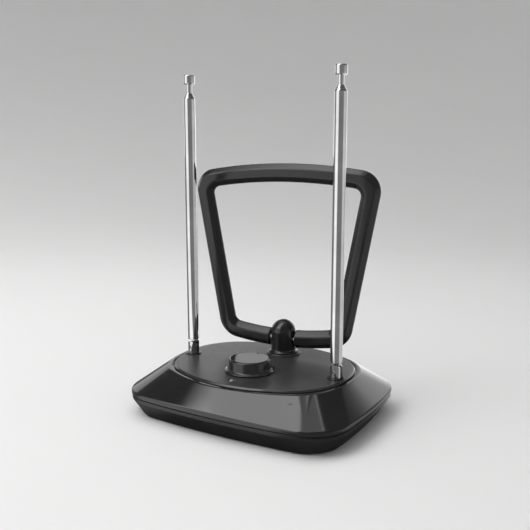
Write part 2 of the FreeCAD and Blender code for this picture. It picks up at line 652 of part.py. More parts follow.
def make_top_deck():
    """Matt deck plate with a bevelled edge, a locating rib and its holes."""
    body = new_body("top_deck")
    pad(body, barrel_sketch(body, "deck", "ledge_z", "0", "deck_shift"), "deck_z - ledge_z")
    top = number("deck_z")
    bevel(body, "deck_edge_bevel", lambda point: abs(point.z - top) < 0.01)
    rib_z = "ledge_z - ledge_thickness"
    rib_outer = "-ledge_width - rib_gap"
    pad(body, barrel_sketch(body, "deck", rib_z, rib_outer, "deck_shift"), "ledge_thickness")
    cut(
        body,
        barrel_sketch(body, "deck", rib_z, f"{rib_outer} - rib_width", "deck_shift"),
        "ledge_thickness",
        reverse=True,
    )
    boss = new_sketch(body, offset="stem_boss_z")
    circle(boss, "stem_boss_radius", "0", "post_y")
    pad(body, boss, "ledge_z - stem_boss_z")
    holes = new_sketch(body, offset="deck_z")
    circle(holes, "bush_radius", "rod_x", "rod_y")
    circle(holes, "bush_radius", "-rod_x", "rod_y")
    circle(holes, "neck_radius", "0", "knob_y")
    circle(holes, "led_radius + 0.1", "0", "led_y")
    circle(holes, "stem_radius + running_gap", "0", "post_y")
    cut(body, holes)


def make_feet_and_screws():
    """Rubber feet in their recesses, and the screws that hold the two shells."""
    feet = new_body("rubber_feet")
    discs = new_sketch(feet)
    for x, y in four_ways("foot_x", "foot_y"):
        circle(discs, "foot_radius", x, y)
    pad(feet, discs, "foot_top")
    bevel(feet, "0.4", lambda point: abs(point.z) < 0.01)
    screws = new_body("case_screws")
    heads = new_sketch(screws, offset="screw_head_bottom")
    shanks = new_sketch(screws, offset="screw_head_top")
    recesses = new_sketch(screws, offset="screw_head_bottom")
    for x, y in four_ways("boss_x", "boss_y"):
        circle(heads, "screw_head_radius", x, y)
        circle(shanks, "screw_radius", x, y)
        drive_recess(recesses, x, y)
    pad(screws, heads, "screw_head_top - screw_head_bottom")
    pad(screws, shanks, "screw_tip_z - screw_head_top")
    cut(screws, recesses, "drive_depth", reverse=True)


def drive_recess(sketch, x, y):
    """Outline of the square drive recess in a screw head."""
    half = "drive_half_width"
    rectangle(sketch, f"{x} - {half}", f"{x} + {half}", f"{y} - {half}", f"{y} + {half}")


# ---------------------------------------------------------------- inside the base

def make_board():
    """Circuit board on its pillars, its screws, the shielding can and the ballast plate."""
    board = new_body("circuit_board")
    plate = new_sketch(board, offset="board_z")
    rectangle(plate, "-board_half_width", "board_half_width", "board_front", "board_back")
    pad(board, plate, "board_thickness")
    holes = new_sketch(board, offset="board_z")
    screws = new_body("board_screws")
    heads = new_sketch(screws, offset="board_z + board_thickness")
    shanks = new_sketch(screws, offset="board_z - board_screw_length")
    for x in ("pillar_x", "-pillar_x"):
        for y in ("pillar_front", "pillar_back"):
            circle(holes, "board_screw_radius", x, y)
            circle(heads, "board_screw_radius + 1", x, y)
            circle(shanks, "board_screw_radius", x, y)
    cut(board, holes, reverse=True)
    pad(screws, heads, "board_screw_head")
    pad(screws, shanks, "board_screw_length + board_thickness")
    can = new_body("shielding_can", z="board_z + board_thickness")
    outside = new_sketch(can)
    rectangle(outside, "-can_half_width", "can_half_width", "can_front", "can_back")
    pad(can, outside, "can_height")
    inside = new_sketch(can)
    rectangle(
        inside, "can_wall - can_half_width", "can_half_width - can_wall", "can_front + can_wall",
        "can_back - can_wall",
    )
    cut(can, inside, "can_height - can_wall", reverse=True)
    ballast = new_body("ballast_plate", z="tray_z + floor_thickness")
    plate = new_sketch(ballast)
    rectangle(plate, "-ballast_half_width", "ballast_half_width", "ballast_front", "ballast_back")
    pad(ballast, plate, "ballast_thickness")


def make_rod_contacts():
    """Two bent spring leaves that carry the signal from the swivel studs to the board."""
    body = new_body("rod_contacts", y="rod_y", z="board_z + board_thickness")
    sheet_thickness = "0.4"
    rise = f"stud_bottom_z - board_z - board_thickness - 0.1 - {sheet_thickness}"
    foot = "board_half_width - 6"
    riser = "board_half_width - 2"
    tip = "rod_x + 2"
    for sign in ("", "-"):
        profile = new_sketch(body, "XZ_Plane")
        corners = [
            (foot, "0"), (riser, "0"), (riser, rise), (tip, rise), (tip, f"{rise} + {sheet_thickness}"),
            (f"{riser} - {sheet_thickness}", f"{rise} + {sheet_thickness}"),
            (f"{riser} - {sheet_thickness}", sheet_thickness), (foot, sheet_thickness),
        ]
        if sign:
            corners = [(f"-({x})", y) for x, y in reversed(corners)]
        polygon(profile, corners)
        pad(body, profile, "4", symmetric=True)


def make_connectors():
    """Connector panel in the back recess, with the coaxial socket and the power inlet."""
    panel = new_body("connector_panel", y="panel_y")
    plate = new_sketch(panel, "XZ_Plane")
    rectangle(plate, "-recess_half_width", "recess_half_width", "recess_bottom", "recess_top")
    pad(panel, plate, "panel_thickness")
    holes = new_sketch(panel, "XZ_Plane")
    circle(holes, "coax_neck_radius", "coax_x", "connector_z")
    circle(holes, "power_radius", "power_x", "connector_z")
    cut(panel, holes, reverse=True)
    lying = Rotation(Vector(1, 0, 0), -90)
    socket = new_body("coax_socket", "coax_x", "panel_y", "connector_z")
    turn(socket, [
        ("0", "-coax_body_depth"), ("coax_body_radius", "-coax_body_depth"),
        ("coax_body_radius", "-coax_flange_depth"), ("coax_flange_radius", "-coax_flange_depth"),
        ("coax_flange_radius", "-panel_thickness"), ("coax_neck_radius", "-panel_thickness"),
        ("coax_neck_radius", "coax_nut_height"), ("coax_radius", "coax_nut_height"),
        ("coax_radius", "coax_length"), ("coax_bore", "coax_length"), ("coax_bore", "coax_floor"),
        ("0", "coax_floor"),
    ])
    insulator = new_body("coax_insulator", "coax_x", "panel_y", "connector_z")
    ring(insulator, "contact_radius", "coax_bore", "coax_floor", "coax_length - insulator_recess")
    nut = new_body("coax_nut", "coax_x", "panel_y", "connector_z")
    outline = new_sketch(nut)
    hexagon(outline, "coax_nut_corner")
    circle(outline, "coax_neck_radius")
    pad(nut, outline, "coax_nut_height")
    inlet = new_body("power_inlet", "power_x", "panel_y", "connector_z")
    turn(inlet, [
        ("0", "-power_depth"), ("power_radius", "-power_depth"), ("power_radius", "0"),
        ("power_radius + 1", "0"), ("power_radius + 1", "power_flange_height"),
        ("power_bore", "power_flange_height"), ("power_bore", "-power_bore_depth"),
        ("power_pin_radius", "-power_bore_depth"), ("power_pin_radius", "power_pin_end"),
        ("0", "power_pin_end"),
    ])
    for body in (socket, insulator, nut, inlet):
        body.Placement = FreeCAD.Placement(body.Placement.Base, lying)


# ---------------------------------------------------------------- knob and lamp

def make_gain_control():
    """Gain knob pressed on the shaft of a potentiometer that is nutted to the deck."""
    place = {"y": "knob_y", "z": "deck_z"}
    under_deck = "ledge_z - deck_z"
    board_top = "board_z + board_thickness - deck_z"
    control = new_body("gain_potentiometer", **place)
    turn(control, [
        ("0", "-pot_depth"), ("pot_radius", "-pot_depth"), ("pot_radius", "-pot_top_depth"),
        ("pot_shoulder_radius", "-pot_top_depth"), ("pot_shoulder_radius", under_deck),
        ("neck_radius", under_deck), ("neck_radius", "neck_top"),
        ("shaft_radius + running_gap", "neck_top"), ("shaft_radius + running_gap", "-pot_bore_depth"),
        ("0", "-pot_bore_depth"),
    ])
    legs = new_sketch(control, offset=board_top)
    for x in ("-5", "0", "5"):
        rectangle(legs, f"{x} - 0.5", f"{x} + 0.5", "-7", "-6.4")
    pad(control, legs, f"-pot_depth - ({board_top})")
    nut = new_body("potentiometer_nut", **place)
    outline = new_sketch(nut)
    hexagon(outline, "pot_nut_corner")
    circle(outline, "neck_radius")
    pad(nut, outline, "pot_nut_height")
    shaft = new_body("potentiometer_shaft", **place)
    shaft_bottom = "running_gap * 2 - pot_bore_depth"
    socket_top = "knob_height - knob_socket_roof"
    turn(shaft, [
        ("0", shaft_bottom), ("shaft_radius", shaft_bottom), ("shaft_radius", socket_top),
        ("0", socket_top),
    ])
    knob = new_body("gain_knob", **place)
    turn(knob, [
        ("0", socket_top), ("shaft_radius", socket_top), ("shaft_radius", "knob_hub_bottom"),
        ("knob_hub_radius", "knob_hub_bottom"), ("knob_hub_radius", "knob_height - knob_roof"),
        ("knob_hollow_radius", "knob_height - knob_roof"), ("knob_mouth_radius", "knob_gap"),
        ("knob_skirt_radius", "knob_gap"), ("knob_skirt_radius", "knob_gap + 0.8"),
        ("knob_foot_radius", "knob_gap + 1.4"), ("knob_top_radius", "knob_height - 0.6"),
        ("knob_top_radius - 0.6", "knob_height"), ("0", "knob_height"),
    ])
    mark = new_sketch(knob, offset="knob_height")
    rectangle(
        mark, "-knob_mark_width / 2", "knob_mark_width / 2", "knob_top_radius - knob_mark_start",
        "knob_top_radius - knob_mark_end",
    )
    cut(knob, mark, "knob_mark_depth")
    lamp = new_body("status_lamp", y="led_y", z="deck_z")
    collar = "led_radius + led_collar_width"
    turn(lamp, [
        ("0", "-led_depth"), (collar, "-led_depth"), (collar, "-led_collar_depth"),
        ("led_radius", "-led_collar_depth"), ("led_radius", "-led_dome_depth", "-led_dome_depth"),
        ("0", "led_radius - led_dome_depth"),
    ])
    legs = new_sketch(lamp, offset=board_top)
    for x in ("-1", "1"):
        rectangle(legs, f"{x} - 0.25", f"{x} + 0.25", "-0.25", "0.25")
    pad(lamp, legs, f"-led_depth - ({board_top})")


# ---------------------------------------------------------------- telescopic rods

def tube_profile(index, top, bottom):
    """Half section of one telescopic section: a wide foot that runs in the bore around it,
    a thin wall, and a narrowed mouth that guides the section inside it."""
    radius = f"tube_radius_{index}"
    foot = f"tube_bore_{index - 1} - running_gap"
    corners = []
    if index == 4:
        corners += [("0", bottom), (foot, bottom)]
    else:
        corners += [(f"tube_bore_{index}", bottom)]
        corners += [(radius, bottom)] if index == 1 else [(foot, bottom)]
    if index > 1:
        corners += [(foot, f"{bottom} + flare_length"), (radius, f"{bottom} + flare_length + 0.4")]
    if index == 4:
        return corners + [(radius, top), ("0", top)]
    mouth = f"tube_radius_{index + 1} + running_gap"
    return corners + [
        (radius, f"{top} - 0.9"), (f"{mouth} + 0.1", top), (mouth, top),
        (mouth, f"{top} - crimp_length"), (f"tube_bore_{index}", f"{top} - crimp_length - 0.3"),
    ]


def make_rod(side, sign):
    """One telescopic rod with its bush, swivel stud and knuckle."""
    place = {"x": f"{sign}rod_x", "y": "rod_y", "z": "rod_pivot_z"}
    deck = "deck_z - rod_pivot_z"
    flange_top = f"{deck} + bush_flange_height"
    bush_bottom = "bush_bottom_z - rod_pivot_z"
    bush = new_body(f"{side}_rod_bush", **place)
    bore = "stud_radius + running_gap"
    turn(bush, [
        (bore, bush_bottom), ("bush_radius", bush_bottom), ("bush_radius", deck),
        ("bush_flange_radius", deck), ("bush_flange_radius", f"{flange_top} - 0.2"),
        ("bush_flange_radius - 0.3", flange_top), (bore, flange_top),
    ])
    washer = new_body(f"{side}_wave_washer", **place)
    clip_low = "clip_z - rod_pivot_z"
    clip_high = "clip_z + clip_thickness - rod_pivot_z"
    ring(washer, "stud_radius + 0.3", "bush_radius", clip_high, bush_bottom)
    stud = new_body(f"{side}_swivel_stud", **place)
    stem_top = f"{flange_top} + 0.05"
    turn(stud, [
        ("0", "stud_bottom_z - rod_pivot_z"), ("stud_radius", "stud_bottom_z - rod_pivot_z"),
        ("stud_radius", clip_low), ("clip_groove_radius", clip_low), ("clip_groove_radius", clip_high),
        ("stud_radius", clip_high), ("stud_radius", stem_top), ("0", stem_top),
    ])
    tongue = new_sketch(stud, "XZ_Plane")
    polygon(tongue, [
        ("-tongue_half_width", f"{stem_top} - 0.3"), ("tongue_half_width", f"{stem_top} - 0.3"),
        ("tongue_half_width", "0", "0"), ("-tongue_half_width", "0"),
    ])
    pad(stud, tongue, "tongue_thickness", symmetric=True)
    eye = new_sketch(stud, "XZ_Plane")
    circle(eye, "rivet_radius + running_gap")
    cut(stud, eye, symmetric=True)
    clip = new_body(f"{side}_stud_clip", **place)
    ring(clip, "clip_groove_radius", "clip_radius", clip_low, clip_high)
    mouth = new_sketch(clip, offset=clip_high)
    rectangle(mouth, "0", "clip_radius + 1", "-1.2", "1.2")
    cut(clip, mouth)
    knuckle = new_body(f"{side}_knuckle", **place)
    spigot_top = "knuckle_top + spigot_length"
    turn(knuckle, [
        ("0", "-ball_radius", "0"), ("tube_radius_1", "-sqrt(ball_radius^2 - tube_radius_1^2)"),
        ("tube_radius_1", "knuckle_top"), ("tube_bore_1", "knuckle_top"), ("tube_bore_1", spigot_top),
        ("0", spigot_top),
    ])
    slot = new_sketch(knuckle, "YZ_Plane")
    rectangle(slot, "-slot_width / 2", "slot_width / 2", "-ball_radius - 1", "slot_top")
    cut(knuckle, slot, symmetric=True)
    eye = new_sketch(knuckle, "XZ_Plane")
    circle(eye, "rivet_radius")
    cut(knuckle, eye, symmetric=True)
    rivet = new_body(f"{side}_knuckle_rivet", **place)
    shank = new_sketch(rivet, "XZ_Plane")
    circle(shank, "rivet_radius")
    pad(rivet, shank, "2 * rivet_half_length", symmetric=True)
    sections = ("outer_tube", "second_tube", "third_tube", "inner_rod")
    for index, section in enumerate(sections, start=1):
        top = f"tube_top + {index - 1} * tube_step"
        bottom = "knuckle_top" if index == 1 else f"{spigot_top} + {index - 1} * tube_bottom_step"
        if index == 4:
            top = "cap_bottom + cap_socket_depth"
        tube = new_body(f"{side}_{section}", **place)
        turn(tube, tube_profile(index, top, bottom))
    cap = new_body(f"{side}_tip_cap", **place)
    cap_top = "cap_bottom + cap_height"
    socket_top = "cap_bottom + cap_socket_depth"
    turn(cap, [
        ("tube_radius_4", "cap_bottom"), ("cap_radius - cap_bevel", "cap_bottom"),
        ("cap_radius", "cap_bottom + cap_bevel"), ("cap_radius", f"{cap_top} - cap_bevel"),
        ("cap_radius - cap_bevel", cap_top), ("0", cap_top), ("0", socket_top),
        ("tube_radius_4", socket_top),
    ])


# ---------------------------------------------------------------- loop and its post

def turned_with_loop(body):
    """Turn a body with the loop about the post's axis."""
    body.Placement = FreeCAD.Placement(body.Placement.Base, Rotation(UP, number("loop_turn")))


def make_post():
    """Round-headed post in two clamped halves that turns in the deck."""
    place = {"y": "post_y", "z": "loop_pivot_z"}
    deck = "deck_z - loop_pivot_z"
    collar_top = f"{deck} + collar_height"
    collar = new_body("post_collar", y="post_y", z="deck_z")
    turn(collar, [
        ("collar_bore", "0"), ("collar_radius", "0"), ("collar_radius", "collar_height - 0.4"),
        ("collar_radius - 0.4", "collar_height"), ("collar_bore", "collar_height"),
    ])
    flange_low = f"{collar_top} + 0.1"
    flange_high = f"{flange_low} + post_flange_height"
    clip_low = "stem_clip_z - loop_pivot_z"
    clip_high = f"{clip_low} + stem_clip_thickness"
    for half, back in (("front", False), ("rear", True)):
        body = new_body(f"loop_post_{half}", **place)
        turn(body, [
            ("0", "stem_bottom_z - loop_pivot_z"), ("stem_radius", "stem_bottom_z - loop_pivot_z"),
            ("stem_radius", clip_low), ("stem_groove_radius", clip_low), ("stem_groove_radius", clip_high),
            ("stem_radius", clip_high), ("stem_radius", f"{deck} + 0.1"), ("post_radius", f"{deck} + 0.1"),
            ("post_radius", flange_low), ("post_flange_radius", flange_low),
            ("post_flange_radius", f"{flange_high} - 0.3"), ("post_flange_radius - 0.3", flange_high),
            ("post_radius + 0.5", flange_high), ("post_radius", f"{flange_high} + 0.6"),
            ("post_radius", "dome_z - loop_pivot_z", "dome_z - loop_pivot_z"),
            ("0", "dome_z - loop_pivot_z + post_radius"),
        ])
        other_half = new_sketch(body, "XZ_Plane")
        rectangle(other_half, "-20", "20", "-30", "30")
        cut(body, other_half, reverse=back)
        bore = new_sketch(body, "YZ_Plane")
        circle(bore, "pivot_bush_radius")
        cut(body, bore, symmetric=True)
        if back:
            hole = new_sketch(body, "XZ_Plane")
            circle(hole, "post_screw_radius", "0", "post_screw_z")
            cut(body, hole)
            seat = new_sketch(body, "XZ_Plane", "-post_screw_seat")
            circle(seat, "post_screw_head_radius + 0.2", "0", "post_screw_z")
            cut(body, seat)
        else:
            pilot = new_sketch(body, "XZ_Plane")
            circle(pilot, "post_screw_radius", "0", "post_screw_z")
            cut(body, pilot, "post_screw_front", reverse=True)
        turned_with_loop(body)
    bush = new_body("loop_pivot_bush", **place)
    section = new_sketch(bush, "YZ_Plane")
    circle(section, "pivot_bush_radius")
    circle(section, "pivot_radius + running_gap")
    pad(bush, section, "2 * post_radius - 3", symmetric=True)
    screw = new_body("post_screw", **place)
    shank = new_sketch(screw, "XZ_Plane", "-post_screw_seat")
    circle(shank, "post_screw_radius", "0", "post_screw_z")
    pad(screw, shank, "post_screw_seat + post_screw_front")
    head = new_sketch(screw, "XZ_Plane", "-post_screw_seat")
    circle(head, "post_screw_head_radius", "0", "post_screw_z")
    pad(screw, head, "1.6", reverse=True)
    clip = new_body("post_clip", **place)
    ring(clip, "stem_groove_radius", "stem_clip_radius", clip_low, clip_high)
    mouth = new_sketch(clip, offset=clip_high)
    rectangle(mouth, "0", "stem_clip_radius + 1", "-2.4", "2.4")
    cut(clip, mouth)
    for body in (bush, screw, clip):
        turned_with_loop(body)
    washer = new_body("post_wave_washer", **place)
    ring(washer, "stem_radius + 0.3", "stem_clip_radius", clip_high, "stem_boss_z - loop_pivot_z")


def make_loop():
    """Loop frame in two halves around a metal conductor, on a shaft through the post."""
    place = {"y": "post_y", "z": "loop_pivot_z"}
    depth = number("loop_half_depth")
    for half, back in (("front", False), ("rear", True)):
        body = new_body(f"loop_frame_{half}", **place)
        outline = new_sketch(body, "XZ_Plane")
        loop_outline(outline, "0", "loop_top_corner", "loop_bottom_corner")
        loop_outline(outline, "loop_width", "loop_top_inner_corner", "loop_bottom_inner_corner")
        pad(body, outline, "loop_half_depth", reverse=back)
        bevel(body, "loop_bevel", lambda point: abs(abs(point.y) - depth) < 0.01)
        channel = new_sketch(body, "XZ_Plane")
        for inset in ("channel_start", "channel_end"):
            loop_outline(channel, inset, f"loop_top_corner - {inset}", f"loop_bottom_corner - {inset}")
        cut(body, channel, "channel_depth", reverse=not back)
        gap = new_sketch(body, "XZ_Plane")
        rectangle(gap, "-loop_gap", "loop_gap", "-10", "10")
        cut(body, gap, symmetric=True)
        bore = new_sketch(body, "YZ_Plane")
        circle(bore, "pivot_radius")
        cut(body, bore, "2 * pivot_half_length", symmetric=True)
        turned_with_loop(body)
    conductor = new_body("loop_conductor", **place)
    strip = new_sketch(conductor, "XZ_Plane")
    for inset in ("(channel_start + conductor_clearance)", "(channel_end - conductor_clearance)"):
        loop_outline(strip, inset, f"loop_top_corner - {inset}", f"loop_bottom_corner - {inset}")
    pad(conductor, strip, "2 * (channel_depth - conductor_clearance)", symmetric=True)
    ends = new_sketch(conductor, "XZ_Plane")
    rectangle(ends, "-pivot_half_length - 0.1", "pivot_half_length + 0.1", "-10", "10")
    cut(conductor, ends, symmetric=True)
    shaft = new_body("loop_pivot_shaft", **place)
    section = new_sketch(shaft, "YZ_Plane")
    circle(section, "pivot_radius")
    pad(shaft, section, "2 * pivot_half_length", symmetric=True)
    for body in (conductor, shaft):
        turned_with_loop(body)


def check_and_write():
    """Stop on any failed object, then write each node's shape to its own file."""
    doc.recompute()
    for item in doc.Objects:
        if "Invalid" in item.State or "Error" in item.State:
            raise RuntimeError(f"{item.Label} failed: {item.State}")
    os.makedirs("parts", exist_ok=True)
    for body in nodes:
        shape = body.Shape
        if shape.isNull() or not shape.isValid() or not shape.Solids:
            raise RuntimeError(f"{body.Label} has no valid solid")
        shape.exportStep(f"parts/{body.Label}.step")
        print(f"{body.Label:22s} {len(shape.Solids)} solid(s) {shape.Volume:10.1f} mm3")
    print(len(nodes), "nodes")


fill_sheet()
make_lower_shell()
make_upper_shell()
make_top_deck()
make_feet_and_screws()
make_board()
make_rod_contacts()
make_connectors()
make_gain_control()
for side_name, side_sign in (("left", "-"), ("right", "")):
    make_rod(side_name, side_sign)
make_post()
make_loop()
check_and_write()
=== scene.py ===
import json
import math

import bmesh
import bpy
from mathutils import Matrix, Vector


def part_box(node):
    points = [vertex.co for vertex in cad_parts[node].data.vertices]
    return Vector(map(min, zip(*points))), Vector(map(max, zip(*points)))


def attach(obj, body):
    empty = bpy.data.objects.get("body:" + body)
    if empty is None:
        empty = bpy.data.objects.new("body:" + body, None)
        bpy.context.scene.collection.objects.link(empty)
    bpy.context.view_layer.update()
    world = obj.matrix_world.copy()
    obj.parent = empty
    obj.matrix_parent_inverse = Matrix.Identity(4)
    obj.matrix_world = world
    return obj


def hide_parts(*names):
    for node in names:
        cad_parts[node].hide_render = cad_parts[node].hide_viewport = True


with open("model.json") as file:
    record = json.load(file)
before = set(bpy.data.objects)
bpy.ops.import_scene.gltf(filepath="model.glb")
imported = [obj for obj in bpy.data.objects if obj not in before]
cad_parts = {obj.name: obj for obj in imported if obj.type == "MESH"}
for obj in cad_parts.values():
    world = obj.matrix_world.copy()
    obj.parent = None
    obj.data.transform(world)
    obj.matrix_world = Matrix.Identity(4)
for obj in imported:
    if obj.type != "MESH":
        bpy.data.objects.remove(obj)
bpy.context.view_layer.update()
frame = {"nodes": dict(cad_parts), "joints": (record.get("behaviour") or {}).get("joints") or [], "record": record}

# Shapes are worked out in millimetres, and become metres when a piece is shown.
MM = 0.001
TINY = 1e-5
WELD = 2e-4
SHARP_ANGLE = math.radians(34)
FINE_ROUND = 128
ROUND = 96
SMALL_ROUND = 48

record = frame["record"]
slot_of = {part["node"]: part["material_slot"] for part in record["subparts"]}
body_of = {node: body for body, members in record["behaviour"]["bodies"].items() for node in members}
colour_of = {row["slot"]: row["base_color"] for row in record["materials"]}
joints = {joint["name"]: joint for joint in frame["joints"]}


def low(node):
    """Lowest corner of a CAD node, in millimetres."""
    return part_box(node)[0] / MM


def high(node):
    """Highest corner of a CAD node, in millimetres."""
    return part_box(node)[1] / MM


def middle(node):
    """Centre of a CAD node's box, in millimetres."""
    return (low(node) + high(node)) / 2


# ------------------------------------------------------------------ materials

def add(tree, kind, values=None, **settings):
    """Add a shader node, with settings and input values."""
    node = tree.nodes.new(kind)
    for key, value in settings.items():
        setattr(node, key, value)
    for key, value in (values or {}).items():
        node.inputs[key].default_value = value
    return node


def noise(tree, where, scale, detail=4.0, roughness=0.55):
    """Output of a noise texture."""
    node = add(tree, "ShaderNodeTexNoise", {"Scale": scale, "Detail": detail, "Roughness": roughness})
    tree.links.new(where, node.inputs["Vector"])
    return node.outputs["Fac"]


def spread(tree, source, start, end, new_start, new_end):
    """Map one range of values to another, clamped."""
    node = add(tree, "ShaderNodeMapRange", {
        "From Min": start, "From Max": end, "To Min": new_start, "To Max": new_end,
    })
    tree.links.new(source, node.inputs["Value"])
    return node.outputs["Result"]


def times(tree, first, second):
    """Product of two values."""
    node = add(tree, "ShaderNodeMath", operation="MULTIPLY")
    tree.links.new(first, node.inputs[0])
    tree.links.new(second, node.inputs[1])
    return node.outputs[0]


def plus(tree, first, second):
    """Sum of two values."""
    node = add(tree, "ShaderNodeMath", operation="ADD")
    tree.links.new(first, node.inputs[0])
    tree.links.new(second, node.inputs[1])
    return node.outputs[0]


def mix(tree, factor, under, over):
    """Mix two colours, each a socket or a constant."""
    node = add(tree, "ShaderNodeMix", data_type="RGBA")
    tree.links.new(factor, node.inputs["Factor"])
    for socket, value in ((node.inputs[6], under), (node.inputs[7], over)):
        if isinstance(value, bpy.types.NodeSocket):
            tree.links.new(value, socket)
        else:
            socket.default_value = (*value, 1.0)
    return node.outputs[2]


# Noise scales per metre: broad patches, smears, dust specks and a moulded skin's waves.
PATCH_SCALE = 45.0
SMEAR_SCALE = 320.0
SPECK_SCALE = 1500.0
SWELL_SCALE = 28.0
DUST_COLOUR = (0.34, 0.33, 0.31)


def finish(
    slot, roughness, patchy, grain, height, metallic=0.0, dust=0.0, wear=0.0,
    stretch=(1.0, 1.0, 1.0), waves=0.0, polished=None, constants=None,
):
    """Procedural finish of one slot: patchy colour and roughness, a fine surface texture,
    a long wave in moulded skins, worn edges, dust on what faces up, and a smoother part from
    one height on, given as two heights and a factor. Heights are in millimetres, and the
    grain is a noise scale per metre."""
    material = bpy.data.materials.new(slot + "_finish")
    material.use_nodes = True
    tree = material.node_tree
    shader = tree.nodes["Principled BSDF"]
    base = colour_of[slot][:3]
    where = add(tree, "ShaderNodeTexCoord").outputs["Object"]
    drawn = add(tree, "ShaderNodeMapping", {"Scale": stretch})
    tree.links.new(where, drawn.inputs["Vector"])
    drawn = drawn.outputs["Vector"]
    geometry = add(tree, "ShaderNodeNewGeometry")
    patches = noise(tree, where, PATCH_SCALE)
    smears = noise(tree, drawn, SMEAR_SCALE, 5.0, 0.65)
    fine = noise(tree, drawn, grain, 2.0, 0.6)
    colour = mix(
        tree, spread(tree, patches, 0.3, 0.7, 0.0, 1.0),
        [part * 0.86 for part in base], [min(part * 1.16, 1.0) for part in base],
    )
    rough = spread(tree, plus(tree, patches, smears), 0.7, 1.3, roughness - patchy, roughness + patchy)
    if wear:
        edges = spread(tree, geometry.outputs["Pointiness"], 0.515, 0.58, 0.0, wear)
        worn = times(tree, edges, spread(tree, smears, 0.42, 0.62, 0.0, 1.0))
        colour = mix(tree, worn, colour, [min(part * 2.2 + 0.03, 1.0) for part in base])
        rough = plus(tree, rough, spread(tree, worn, 0.0, 1.0, 0.0, 0.22))
    if dust:
        parts = add(tree, "ShaderNodeSeparateXYZ")
        tree.links.new(geometry.outputs["Normal"], parts.inputs[0])
        upper = spread(tree, parts.outputs["Z"], 0.35, 0.95, 0.0, dust)
        specks = spread(tree, noise(tree, where, SPECK_SCALE, 3.0, 0.7), 0.56, 0.74, 0.12, 1.0)
        dusty = times(tree, upper, specks)
        colour = mix(tree, dusty, colour, DUST_COLOUR)
        rough = plus(tree, rough, spread(tree, dusty, 0.0, 1.0, 0.0, 0.5))
    if polished:
        start, end, factor = polished
        place = add(tree, "ShaderNodeSeparateXYZ")
        tree.links.new(where, place.inputs[0])
        smoother = spread(tree, place.outputs["Z"], start * MM, end * MM, 1.0, factor)
        rough = times(tree, rough, smoother)
    tree.links.new(colour, shader.inputs["Base Color"])
    tree.links.new(rough, shader.inputs["Roughness"])
    shader.inputs["Metallic"].default_value = metallic
    for key, value in (constants or {}).items():
        shader.inputs[key].default_value = value
    bump = add(tree, "ShaderNodeBump", {"Strength": 1.0, "Distance": height * MM})
    tree.links.new(fine, bump.inputs["Height"])
    if waves:
        swell = add(tree, "ShaderNodeBump", {"Strength": 1.0, "Distance": waves * MM})
        tree.links.new(noise(tree, where, SWELL_SCALE, 1.0), swell.inputs["Height"])
        tree.links.new(swell.outputs["Normal"], bump.inputs["Normal"])
    tree.links.new(bump.outputs["Normal"], shader.inputs["Normal"])
    return material


# Stretches of the noise: rings round a turned part, and lines along a drawn one.
LATHE = (1.0, 1.0, 14.0)
DRAWN = (9.0, 9.0, 0.35)
DECK_Z = high("top_deck").z
# The lower shell's band is smoother than its tray, and the deck's bevel than its top.
SMOOTH_BAND = (9.6, 9.7, 0.45)
SMOOTH_BEVEL = (DECK_Z - 0.05, DECK_Z - 0.15, 0.25)

finishes = {
    "gloss_black": finish(
        "gloss_black", 0.08, 0.02, 2400, 0.0004, dust=0.02, wear=0.2, waves=0.01,
        constants={"IOR": 1.57},
    ),
    "satin_black": finish(
        "satin_black", 0.40, 0.05, 2600, 0.004, dust=0.02, wear=0.3, polished=SMOOTH_BAND,
        constants={"IOR": 1.45},
    ),
    "matt_black": finish(
        "matt_black", 0.34, 0.04, 3000, 0.005, dust=0.03, wear=0.3, polished=SMOOTH_BEVEL,
        constants={"IOR": 1.52},
    ),
    "knob_black": finish("knob_black", 0.12, 0.03, 2400, 0.0006, dust=0.02, wear=0.2),
    "post_black": finish("post_black", 0.11, 0.04, 2400, 0.001, dust=0.02, wear=0.2),
    "frame_black": finish(
        "frame_black", 0.17, 0.03, 2600, 0.0006, dust=0.01, wear=0.06, constants={"IOR": 1.43},
    ),
    "rubber": finish("rubber", 0.72, 0.08, 2200, 0.012, dust=0.2, wear=0.2),
    "chrome": finish("chrome", 0.06, 0.02, 900, 0.0003, 1.0, stretch=DRAWN),
    "plain_steel": finish("plain_steel", 0.34, 0.08, 1200, 0.002, 1.0, wear=0.3),
    "zinc_steel": finish("zinc_steel", 0.30, 0.08, 1400, 0.002, 1.0, wear=0.3),
    "tin_plate": finish("tin_plate", 0.24, 0.08, 900, 0.001, 1.0, wear=0.2),
    "nickel": finish("nickel", 0.18, 0.06, 1600, 0.0015, 1.0, wear=0.2, stretch=LATHE),
    "aluminium": finish("aluminium", 0.28, 0.06, 1200, 0.003, 1.0, stretch=LATHE),
    "spring_brass": finish("spring_brass", 0.26, 0.08, 1200, 0.001, 1.0, wear=0.2),
    "board_green": finish("board_green", 0.32, 0.06, 800, 0.006, wear=0.3),
    "white_plastic": finish("white_plastic", 0.4, 0.06, 2200, 0.003, wear=0.1),
    "lamp_lens": finish(
        "lamp_lens", 0.16, 0.03, 2000, 0.001,
        constants={"Transmission Weight": 0.35, "IOR": 1.5, "Coat Weight": 0.6, "Coat Roughness": 0.06},
    ),
}


# ------------------------------------------------------------------ mesh helpers

def mesh_from(verts, faces):
    """Welded mesh with its normals facing out."""
    mesh = bpy.data.meshes.new("mesh")
    mesh.from_pydata(verts, [], faces)
    work = bmesh.new()
    work.from_mesh(mesh)
    bmesh.ops.remove_doubles(work, verts=work.verts, dist=WELD)
    bmesh.ops.recalc_face_normals(work, faces=work.faces)
    work.to_mesh(mesh)
    work.free()
    return mesh


